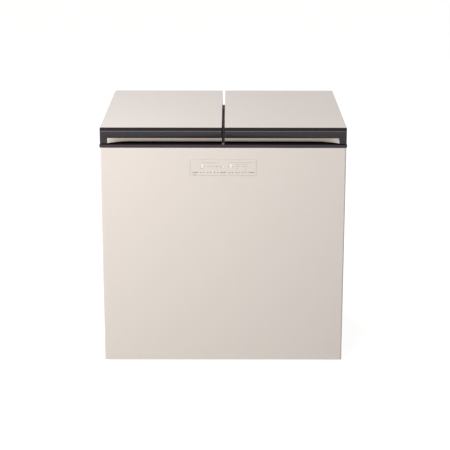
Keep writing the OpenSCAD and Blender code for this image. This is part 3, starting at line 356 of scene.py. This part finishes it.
# The lids' panels have the same coat, a little darker and glossier
lidTopValues = {
    **pearlValues,
    "colour": "#d3c8c0",
    "shade": "#cec3bb",
    "gloss": 0.5,
    "coat": 0.12,
}


def makePearl(name, v):
    # satin coat on steel: fine flake, orange peel and a slow drift of the sheen
    material = newMaterial(name, v["colour"], {
        "Specular IOR Level": v["gloss"],
        "Coat Weight": v["coat"],
        "Coat Roughness": v["coatRoughness"],
    })
    flake = grain(material, v["flakeSize"], detail=1)
    mixColours(material, outOf(flake), v["shade"], v["colour"])
    mixRoughness(material, outOf(grain(material, v["driftSize"], detail=3)), *v["roughness"])
    addBump(material, outOf(grain(material, v["peelSize"])), v["peelDepth"])
    return material


# Moulded plastics

plasticSurface = {"gloss": 0.5, "sheenSize": 0.06}

plasticValues = {
    "black": {
        **plasticSurface, "colour": "#222224", "shade": "#1c1c1e", "roughness": (0.42, 0.55),
        "grainSize": 0.0009, "grainDepth": 0.00003,
    },
    # painted light: much paler than the trim plastic, standing in for the light that falls
    # through the gap between the lids onto the deck
    "strip": {
        **plasticSurface, "colour": "#857a76", "shade": "#7f7470", "roughness": (0.45, 0.55),
        "gloss": 0.3, "grainSize": 0.0007, "grainDepth": 0.00003,
    },
    "white": {
        **plasticSurface, "colour": "#eceae5", "shade": "#e6e3dd", "roughness": (0.25, 0.36),
        "grainSize": 0.004, "grainDepth": 0.00002,
    },
    "liner": {
        **plasticSurface, "colour": "#e9e7e2", "shade": "#e5e3de", "roughness": (0.26, 0.32),
        "grainSize": 0.0014, "grainDepth": 0.00002,
    },
}


def makePlastic(name, v):
    # spark-eroded grain, with the sheen drifting over the part
    material = newMaterial(name, v["colour"], {"Specular IOR Level": v["gloss"]})
    mould = grain(material, v["grainSize"], detail=3)
    mixColours(material, outOf(mould), v["shade"], v["colour"])
    mixRoughness(material, outOf(grain(material, v["sheenSize"])), *v["roughness"])
    addBump(material, outOf(mould), v["grainDepth"])
    return material


trimValues = {
    **plasticSurface, "colour": "#3a3337", "shade": "#352f32", "roughness": (0.5, 0.6),
    "gloss": 0.2, "grainSize": 0.0007, "grainDepth": 0.00003,
    # painted shade: near black on the upward-facing deck, standing in for the shade the lids
    # cast
    "deck": "#1c191b",
    "deckMatch": (0.85, 0.97),          # how nearly the deck has to face up
}


def makeTrim(name, v):
    # the top frame: painted shade makes its upward-facing deck near black, for the shade under
    # the lids
    material = makePlastic(name, v)
    layOver(material, facingMask(material, (0, 0, 1), *v["deckMatch"]), v["deck"])
    return material


frameValues = {
    **plasticSurface, "colour": "#322f32", "shade": "#2d2a2d", "roughness": (0.36, 0.46),
    "gloss": 0.25, "grainSize": 0.0007, "grainDepth": 0.00003,
    "band": "#150d0f",                  # painted shade: darker colour on the sloping band, standing in for the dark reflection it shows
    "bandNormal": (0, -0.768, 0.640),   # the way the band faces
    "bandMatch": (0.86, 0.95),          # how nearly a surface has to face that way
    "edge": "#746c6e",                  # painted highlight along the edge under the band
    "edgeHeight": 0.9238,
    "edgeHalf": 0.0014,
    "frontMatch": (0.5, 0.7),           # keeps the painted highlight on the lid's front
}


def makeLidFrame(name, v):
    # charcoal moulding: painted shade darkens the sloping band along the front, and a painted
    # highlight runs along the edge below it
    material = makePlastic(name, v)
    layOver(material, facingMask(material, v["bandNormal"], *v["bandMatch"]), v["band"])
    # painted highlight: a thin pale line at the edge's height, on front faces only
    line = addNode(material, "ShaderNodeMapRange", {
        "From Min": 0, "From Max": v["edgeHalf"], "To Min": 1, "To Max": 0})
    wire(material, distanceFrom(material, "Z", v["edgeHeight"]), line.inputs["Value"])
    onFront = addNode(material, "ShaderNodeMath", operation="MULTIPLY")
    wire(material, line.outputs["Result"], onFront.inputs[0])
    wire(material, facingMask(material, (0, -1, 0), *v["frontMatch"]), onFront.inputs[1])
    layOver(material, onFront.outputs[0], v["edge"])
    return material


gripValues = {
    **plasticSurface, "colour": "#a89c92", "shade": "#a2958b", "roughness": (0.38, 0.46),
    "grainSize": 0.0008, "grainDepth": 0.00002,
    # painted reflection: lighter colour towards the grip's outer end
    "end": "#c4bbb4",
    "endFrom": 0.398, "endTo": 0.436,   # from the middle of the cabinet
}


def makeGrip(name, v):
    # pale moulding with a painted reflection that makes it lighter towards its outer end
    material = makePlastic(name, v)
    end = addNode(material, "ShaderNodeMapRange", {
        "From Min": v["endFrom"], "From Max": v["endTo"]})
    wire(material, distanceFrom(material, "X", 0), end.inputs["Value"])
    layOver(material, end.outputs["Result"], v["end"])
    return material


containerValues = {
    "colour": "#d8d3c9", "shade": "#cbc5ba", "roughness": (0.22, 0.34),
    "milk": 0.25, "milkDepth": 0.01, "clear": 0.12,
    "cloudSize": 0.03, "sheenSize": 0.02,
    "grainSize": 0.0012, "grainDepth": 0.00002,
}


def makeContainerPlastic(name, v):
    # milky polypropylene that lets some light through
    material = newMaterial(name, v["colour"], {
        "Subsurface Weight": v["milk"],
        "Subsurface Scale": v["milkDepth"],
        "Transmission Weight": v["clear"],
    })
    mixColours(material, outOf(grain(material, v["cloudSize"])), v["shade"], v["colour"])
    mixRoughness(material, outOf(grain(material, v["sheenSize"], detail=3)), *v["roughness"])
    addBump(material, outOf(grain(material, v["grainSize"])), v["grainDepth"])
    return material


# Rubber and foam

rubberSurface = {
    "sheen": 0.1, "dustSize": 0.009, "dustRange": (0.5, 0.8), "wearSize": 0.02,
    "grainSize": 0.0006, "grainDepth": 0.00003,
}

rubberValues = {
    "gasket": {
        **rubberSurface, "colour": "#5b5a5c", "dust": "#6a6867", "roughness": (0.55, 0.7),
    },
    "tyre": {
        **rubberSurface, "colour": "#242425", "dust": "#3a3836", "roughness": (0.65, 0.85),
    },
}


def makeRubber(name, v):
    # dull rubber with dust in patches
    material = newMaterial(name, v["colour"], {"Sheen Weight": v["sheen"]})
    dust = grain(material, v["dustSize"], detail=5)
    mixColours(material, outOf(dust), v["colour"], v["dust"], *v["dustRange"])
    mixRoughness(material, outOf(grain(material, v["wearSize"])), *v["roughness"])
    addBump(material, outOf(grain(material, v["grainSize"])), v["grainDepth"])
    return material


foamValues = {
    "colour": "#e6d59c", "shade": "#cdb672", "roughness": 0.9, "gloss": 0.15,
    "skinSize": 0.05, "cellSize": 0.0018, "cellDepth": 0.0004,
}


def makeFoam(name, v):
    # rigid polyurethane: broken cells and darker skins
    material = newMaterial(name, v["colour"], {
        "Roughness": v["roughness"],
        "Specular IOR Level": v["gloss"],
    })
    skins = grain(material, v["skinSize"], detail=6)
    mixColours(material, outOf(skins), v["shade"], v["colour"])
    cells = grain(material, v["cellSize"], detail=0, kind="ShaderNodeTexVoronoi")
    addBump(material, outOf(cells), v["cellDepth"])
    return material


# Metals, enamel and circuit boards

metalSurface = {"stretch": (1, 1, 1), "streakRange": (0.25, 0.7), "tarnishSize": 0.03}

metalValues = {
    "aluminium": {
        **metalSurface, "colour": "#cdced0", "shade": "#b9babc", "roughness": (0.30, 0.44),
        "streakSize": 0.0011, "streakDepth": 0.00002, "stretch": (0.06, 0.06, 1),
    },
    "fins": {
        **metalSurface, "colour": "#c3c6ca", "shade": "#a9acb0", "roughness": (0.35, 0.5),
        "streakSize": 0.004, "streakDepth": 0.00003,
    },
    "steel": {
        **metalSurface, "colour": "#c9c8c6", "shade": "#9d9c9a", "roughness": (0.18, 0.34),
        "streakSize": 0.0012, "streakDepth": 0.00001,
    },
    "copper": {
        **metalSurface, "colour": "#c47f57", "shade": "#8f5436", "roughness": (0.25, 0.5),
        "streakSize": 0.02, "streakDepth": 0.00002,
    },
}


def makeMetal(name, v):
    # bare metal: drawn or rolled streaks and a patchy tarnish
    material = newMaterial(name, v["colour"], {"Metallic": 1})
    streaks = grain(material, v["streakSize"], detail=4, stretch=v["stretch"])
    mixColours(material, outOf(streaks), v["shade"], v["colour"], *v["streakRange"])
    tarnish = grain(material, v["tarnishSize"], detail=3)
    mixRoughness(material, outOf(tarnish), *v["roughness"])
    addBump(material, outOf(streaks), v["streakDepth"])
    return material


zincValues = {
    "colour": "#bfc2c4", "shade": "#b0b4b7", "roughness": (0.36, 0.46), "metallic": 0.85,
    "spangleSize": 0.008, "spangleDepth": 0.00001,
}


def makeZinc(name, v):
    # hot-dipped sheet: flat crystals, each with its own tone
    material = newMaterial(name, v["colour"], {"Metallic": v["metallic"]})
    spangle = grain(material, v["spangleSize"], detail=0, kind="ShaderNodeTexVoronoi")
    tone = addNode(material, "ShaderNodeSeparateColor")
    wire(material, spangle.outputs["Color"], tone.inputs["Color"])
    mixColours(material, tone.outputs["Red"], v["shade"], v["colour"], low=0, high=1)
    mixRoughness(material, tone.outputs["Green"], *v["roughness"])
    addBump(material, tone.outputs["Blue"], v["spangleDepth"])
    return material


enamelValues = {
    "colour": "#121214", "shade": "#1d1c1d", "roughness": (0.16, 0.3),
    "coat": 0.3, "coatRoughness": 0.12,
    "cloudSize": 0.03, "sheenSize": 0.05, "waveSize": 0.006, "waveDepth": 0.00008,
}


def makeEnamel(name, v):
    # dipped black enamel, a little wavy
    material = newMaterial(name, v["colour"], {
        "Coat Weight": v["coat"],
        "Coat Roughness": v["coatRoughness"],
    })
    cloud = grain(material, v["cloudSize"], detail=4)
    mixColours(material, outOf(cloud), v["colour"], v["shade"])
    mixRoughness(material, outOf(grain(material, v["sheenSize"])), *v["roughness"])
    addBump(material, outOf(grain(material, v["waveSize"])), v["waveDepth"])
    return material


boardValues = {
    "colour": "#1f6a3e", "track": "#2f8450", "roughness": 0.3, "coat": 0.2,
    "pitch": 0.0024, "stretch": (1, 0.25, 1), "trackRange": (0.3, 0.36),
    "trackDepth": 0.00002,
}


def makeBoard(name, v):
    # solder mask with raised tracks
    material = newMaterial(name, v["colour"], {
        "Roughness": v["roughness"],
        "Coat Weight": v["coat"],
    })
    tracks = grain(material, v["pitch"], detail=0, stretch=v["stretch"],
                   kind="ShaderNodeTexVoronoi")
    mixColours(material, outOf(tracks), v["track"], v["colour"], *v["trackRange"])
    addBump(material, outOf(tracks), v["trackDepth"])
    return material


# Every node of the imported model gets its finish

pearl = makePearl("pearlPaint", pearlValues)
lidTop = makePearl("lidTopPaint", lidTopValues)
trimPlastic = makeTrim("trimPlastic", trimValues)
framePlastic = makeLidFrame("lidFramePlastic", frameValues)
blackPlastic = makePlastic("blackPlastic", plasticValues["black"])
whitePlastic = makePlastic("whitePlastic", plasticValues["white"])
linerPlastic = makePlastic("linerPlastic", plasticValues["liner"])
gripPlastic = makeGrip("gripPlastic", gripValues)
paintedLightStripPlastic = makePlastic("paintedLightStripPlastic", plasticValues["strip"])
gasketRubber = makeRubber("gasketRubber", rubberValues["gasket"])
blackRubber = makeRubber("blackRubber", rubberValues["tyre"])
tubMetal = makeMetal("tubAluminium", metalValues["aluminium"])
finMetal = makeMetal("finAluminium", metalValues["fins"])
brightSteel = makeMetal("brightSteel", metalValues["steel"])
copper = makeMetal("copperPipe", metalValues["copper"])
zinc = makeZinc("zincSheet", zincValues)
enamel = makeEnamel("compressorEnamel", enamelValues)
foam = makeFoam("rigidFoam", foamValues)
circuitBoard = makeBoard("circuitBoard", boardValues)
containerPlastic = makeContainerPlastic("containerPlastic", containerValues)

paint(pearl, "front_panel", "control_window", *bothSides("side_panel"))
paint(lidTop, *bothSides("lid_panel"))
paint(trimPlastic, "top_frame")
paint(framePlastic, *bothSides("lid_frame"))
paint(gripPlastic, *bothSides("lid_grip"))
paint(linerPlastic, *bothSides("lid_liner"))
paint(gasketRubber, *bothSides("lid_gasket"))
paint(foam, "cabinet_foam", *bothSides("lid_foam"))
paint(tubMetal, *bothSides("tub"))
paint(copper, "condenser_tube", "refrigerant_pipes", "filter_dryer",
      *bothSides("evaporator_coil"))
paint(zinc, "back_panel", "rear_cover", "base_pan", "machine_wall", "hinge_brackets",
      "roller_brackets", "foot_sockets", "fan_motor", *bothSides("hinge_leaves"))
paint(brightSteel, "rear_cover_screws", "hinge_pins", "hinge_springs", "roller_axles")
paint(finMetal, "condenser_fins")
paint(blackPlastic, "cord_gland", "display_case", "compressor_relay_cover", "fan_shroud",
      "fan_rotor", *bothSides("foot"))
paint(blackRubber, "compressor_mounts", *bothSides("roller"))
paint(enamel, "compressor")
paint(circuitBoard, "display_board", "main_board")
paint(whitePlastic, "board_box", "board_box_cover", *bothSides("container_lid"))
paint(containerPlastic, *bothSides("container"))
print("finishes on", len(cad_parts), "nodes")


# Rounded parts again as one welded skin, so that their curves shade smoothly

skinValues = {
    "weld": 2e-6,        # corners this near become one
    "smoothAngle": 32,
    "nodes": {
        # node: (body, material)
        "front_panel": ("cabinet", pearl),
        "top_frame": ("cabinet", trimPlastic),
        "{side}_tub": ("cabinet", tubMetal),
        "{side}_lid_panel": ("{side}_lid", lidTop),
        "{side}_lid_frame": ("{side}_lid", framePlastic),
        "{side}_lid_grip": ("{side}_lid", gripPlastic),
        "{side}_lid_liner": ("{side}_lid", linerPlastic),
        "{side}_container": ("{side}_storage", containerPlastic),
        "{side}_container_lid": ("{side}_storage", whitePlastic),
    },
}


def makeSkin(node, body, material, v):
    mesh = bmesh.new()
    mesh.from_mesh(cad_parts[node].data)
    bmesh.ops.remove_doubles(mesh, verts=mesh.verts, dist=v["weld"])
    skin = finishPiece(node + "_skin", mesh, body, material, v["smoothAngle"])
    even = skin.modifiers.new("evenShading", "WEIGHTED_NORMAL")
    even.keep_sharp = True
    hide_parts(node)


for node, (body, material) in skinValues["nodes"].items():
    for side in (sides if "{side}" in node else [""]):
        makeSkin(node.format(side=side), body.format(side=side), material, skinValues)
print("skins on rounded parts")


# Marks printed on the control window: plain blocks, bars and dots

inkSurface = {**plasticSurface, "grainSize": 0.0004, "grainDepth": 0.00001}

inkValues = {
    "dark": {**inkSurface, "colour": "#5a514b", "shade": "#524943", "roughness": (0.5, 0.6)},
    "faint": {**inkSurface, "colour": "#b9b0a8", "shade": "#b3aaa2", "roughness": (0.5, 0.6)},
    "border": {**inkSurface, "colour": "#cac1ba", "shade": "#c5bcb5", "roughness": (0.4, 0.5)},
    "lit": {
        **inkSurface, "colour": "#ebe5de", "shade": "#e6e0d8", "roughness": (0.3, 0.4),
        "grainSize": 0.002, "glow": 0.03,
    },
}

# Millimetres. Places are across from the window's middle and down from its top edge
printValues = {
    "thick": 0.2,      # half of it stands proud of the window
    "flange": 5,       # the window's box is this much higher than its face
    "corner": 0.35,    # corner radius as a share of a mark's shorter side
    "keyRow": 49.9,
    "keys": (-84.5, -73.4, -58.3, -47.6, -32.4, -21.8, 23.3, 34.0, 48.6, 58.9, 73.8, 84.9),
    "keySize": (3.6, 3.4),
    "groups": (-104.5, -0.5, 106.9),
    "groupCount": 5,
    "groupPitch": 4.6,
    "groupSize": (2.8, 3.0),
    "groupWiden": 0.9,
    "note": (-107.3, 59.2),
    "noteCount": 4,
    "notePitch": 4.4,
    "noteSize": (2.9, 2.3),
    "dots": [(-86.1, 26.3), (-72.3, 26.3), (20.4, 26.5), (35.6, 26.5), (-7.8, 29.9)],
    "dotSize": (1.9, 2.8),
    "dashRow": 60.8,
    "dashRuns": [(-92, -65), (-57, -18), (-12, 11), (18, 44), (46, 90), (94, 122)],
    "dashPitch": 5,
    "dashSize": (3.6, 1.5),
    "bars": [
        # across, down, width, height
        (-55.3, 12.3, 58.3, 1.5), (-19, 12.3, 12, 0.9),
        (64.6, 12.3, 88.4, 1.5), (115, 12.3, 10, 0.9),
        (-36.4, 26.5, 57, 1.1), (-80.6, 36, 13.6, 1.8),
        (-24.3, 27, 1.6, 10), (84.9, 39, 1.6, 10),
        (48.5, 19.4, 5, 2), (55, 19.4, 5, 2), (61.5, 19.4, 4, 2),
        (48.5, 27.3, 5, 2), (55, 27.3, 5, 2), (61.5, 27.3, 4, 2),
        (50, 36.4, 5, 2), (57, 36.4, 5, 2),
        (74.3, 19.4, 6.4, 2), (86.4, 19.4, 7, 2),
        (74.3, 27.3, 6.4, 2), (86.4, 27.3, 7, 2),
    ],
    "litSpots": [(-79.1, 25, 6.2, 10.5), (28.2, 24, 6.2, 11.5), (1, 28.9, 3.4, 5)],
    "sideBands": [(-124.4, 31.5, 2.8, 55), (124.4, 31.5, 2.8, 55)],
}


def makeInk(name, v):
    ink = makePlastic(name, v)
    if "glow" in v:
        shaderOf(ink).inputs["Emission Color"].default_value = tint(v["colour"])
        shaderOf(ink).inputs["Emission Strength"].default_value = v["glow"]
    return ink


def onWindow(v, across, down):
    # the place of a mark, its thickness along Y
    low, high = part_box("control_window")
    place = Matrix.Translation((across / 1000, low[1], high[2] - (v["flange"] + down) / 1000))
    return place @ Matrix.Rotation(math.pi / 2, 4, "X")


def makeMarks(name, marks, material, v):
    mesh = bmesh.new()
    for across, down, width, height in marks:
        corner = v["corner"] * min(width, height) / 1000
        block = slab((width / 1000, height / 1000, v["thick"] / 1000), corner, segments=3)
        sinkMesh(mesh, block, [onWindow(v, across, down)])
    finishPiece(name, mesh, "cabinet", material)


def rowOf(count, middle, down, pitch, size, widen=0):
    # equal marks about a middle; every second one can be wider
    width, height = size
    return [(middle + pitch * (i - (count - 1) / 2), down, width + widen * (i % 2), height)
            for i in range(count)]


def makeWindowPrint(v):
    inks = {name: makeInk(name + "Ink", values) for name, values in inkValues.items()}
    dark = [(across, v["keyRow"], *v["keySize"]) for across in v["keys"]]
    for middle in v["groups"]:
        dark += rowOf(v["groupCount"], middle, v["keyRow"], v["groupPitch"], v["groupSize"],
                      v["groupWiden"])
    dark += rowOf(v["noteCount"], *v["note"], v["notePitch"], v["noteSize"])
    dark += [(*dot, *v["dotSize"]) for dot in v["dots"]]
    makeMarks("window_key_marks", dark, inks["dark"], v)
    faint = list(v["bars"])
    for start, stop in v["dashRuns"]:
        count = round((stop - start) / v["dashPitch"])
        faint += rowOf(count, (start + stop) / 2, v["dashRow"], (stop - start) / count,
                       v["dashSize"])
    makeMarks("window_faint_marks", faint, inks["faint"], v)
    makeMarks("window_lit_marks", v["litSpots"], inks["lit"], v)
    makeMarks("window_side_bands", v["sideBands"], inks["border"], v)


makeWindowPrint(printValues)
print("window printed")


# Hexagon screws with a pressed washer face

screwValues = {
    "segments": 24,
    "shank": 0.0017,       # radius, like tip, washer and crown
    "length": 0.007,
    "tip": 0.00102,
    "point": 0.001,
    "bite": 0.0001,        # how far the washer face sinks into the sheet
    "washer": 0.0050,
    "rim": 0.00035,
    "crown": 0.0043,
    "crownHeight": 0.0005,
    "hexagon": 0.0040,     # half the width across the flats
    "hexagonFrom": 0.0004,
    "head": 0.0016,
    "ease": 0.0003,
    "dishInset": 0.0009,
    "dish": 0.0003,
}

rearScrewValues = {
    "face": 0.3935,
    "cover": [(x, z) for z in (0.041, 0.332) for x in (-0.4, -0.135, 0.135, 0.4)],
    "panel": [(x, z) for z in (0.38, 0.53, 0.68, 0.83) for x in (-0.4515, 0.4515)],
}

hingeScrewValues = {
    "hinges": (0.083875, 0.383875),
    "offsets": (-0.014, 0.011),
    "y": 0.3575,
    "z": 0.875,
}


def hexScrew(v):
    # upright screw: its washer face sits at height 0
    mesh = turned([
        (0, -v["length"]), (v["tip"], -v["length"]), (v["shank"], v["point"] - v["length"]),
        (v["shank"], -v["bite"]), (v["washer"], -v["bite"]), (v["washer"], v["rim"]),
        (v["crown"], v["crownHeight"]), (0, v["crownHeight"]),
    ], v["segments"])
    corner = v["hexagon"] / math.cos(math.pi / 6)
    middle = Matrix.Translation((0, 0, (v["head"] + v["hexagonFrom"]) / 2))
    made = bmesh.ops.create_cone(mesh, cap_ends=True, segments=6, radius1=corner,
                                 radius2=corner, depth=v["head"] - v["hexagonFrom"],
                                 matrix=middle)
    top = topFace({face for vert in made["verts"] for face in vert.link_faces})
    easeEdges(mesh, list(top.edges), v["ease"], segments=2)
    top = topFace(mesh.faces)
    bmesh.ops.inset_region(mesh, faces=[top], thickness=v["dishInset"])
    bmesh.ops.translate(mesh, verts=top.verts, vec=(0, 0, -v["dish"]))
    return mesh


def makeScrews(name, places, v, replaced=None):
    mesh = bmesh.new()
    sinkMesh(mesh, hexScrew(v), places)
    piece = finishPiece(name, mesh, "cabinet", brightSteel, smoothAngle=30)
    if replaced:
        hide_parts(replaced)


def rearPlaces(v, spots):
    backwards = Matrix.Rotation(-math.pi / 2, 4, "X")
    return [Matrix.Translation((x, v["face"], z)) @ backwards for x, z in spots]


def hingePlaces(v):
    across = [side * (middle + offset) for side in sides.values()
              for middle in v["hinges"] for offset in v["offsets"]]
    return [Matrix.Translation((x, v["y"], v["z"])) for x in across]


makeScrews("rear_cover_hex_screws", rearPlaces(rearScrewValues, rearScrewValues["cover"]),
           screwValues, "rear_cover_screws")
makeScrews("back_panel_screws", rearPlaces(rearScrewValues, rearScrewValues["panel"]),
           screwValues)
makeScrews("hinge_bracket_screws", hingePlaces(hingeScrewValues), screwValues)
print("screws in")


# Pressed bead on the underside of each lid's plug

beadValues = {
    "inset": 0.045,      # in from the plug's flat underside
    "band": 0.007,
    "corner": 0.03,
    "rise": 0.0014,
    "ease": 0.00084,
    "flat": 0.0005,      # what lies this near the lowest point is the underside
    "easeOver": 1,       # radians; edges that turn more are eased
}


def flatRing(width, height, v):
    # a flat band round a rounded rectangle, centred on the origin
    thick = 2 * v["rise"]
    mesh = slab((width, height, thick), v["corner"], segments=4)
    front = topFace(mesh.faces)
    bmesh.ops.delete(mesh, geom=[face for face in mesh.faces if face is not front],
                     context="FACES")
    bmesh.ops.inset_region(mesh, faces=[front], thickness=v["band"], use_boundary=True,
                           use_even_offset=True)
    bmesh.ops.delete(mesh, geom=[front], context="FACES_ONLY")
    bmesh.ops.solidify(mesh, geom=mesh.faces[:], thickness=thick)
    bmesh.ops.recalc_face_normals(mesh, faces=mesh.faces)
    return mesh


def makePlugBead(side, v):
    liner = [vert.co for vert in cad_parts[f"{side}_lid_liner"].data.vertices]
    lowest = min(point.z for point in liner)
    under = [point for point in liner if point.z < lowest + v["flat"]]
    left, right = min(point.x for point in under), max(point.x for point in under)
    front, back = min(point.y for point in under), max(point.y for point in under)
    ring = flatRing(right - left - 2 * v["inset"], back - front - 2 * v["inset"], v)
    sharp = [edge for edge in ring.edges if edge.calc_face_angle(0) > v["easeOver"]]
    easeEdges(ring, sharp, v["ease"], segments=3)
    mesh = bmesh.new()
    middle = ((left + right) / 2, (front + back) / 2, lowest)
    sinkMesh(mesh, ring, [Matrix.Translation(middle)])
    finishPiece(f"{side}_plug_bead", mesh, f"{side}_lid", linerPlastic)


for side in sides:
    makePlugBead(side, beadValues)
print("plug beads on")


# Raised strip on the deck, seen through the gap between the lids; its pale colour is painted
# light

stripValues = {
    "width": 0.0086,
    "front": -0.3905,
    "back": 0.372,
    "bottom": 0.8725,
    "top": 0.8757,
    "endRadius": 0.00387,   # just under half the width
    "ease": 0.0009,
}


def makeCentreStrip(v):
    size = (v["width"], v["back"] - v["front"], v["top"] - v["bottom"])
    strip = slab(size, v["endRadius"], segments=6)
    easeEdges(strip, list(topFace(strip.faces).edges), v["ease"], segments=3)
    mesh = bmesh.new()
    middle = (0, (v["back"] + v["front"]) / 2, (v["top"] + v["bottom"]) / 2)
    sinkMesh(mesh, strip, [Matrix.Translation(middle)])
    finishPiece("centre_strip", mesh, "cabinet", paintedLightStripPlastic)


makeCentreStrip(stripValues)
print("centre strip on")


print("pieces done")
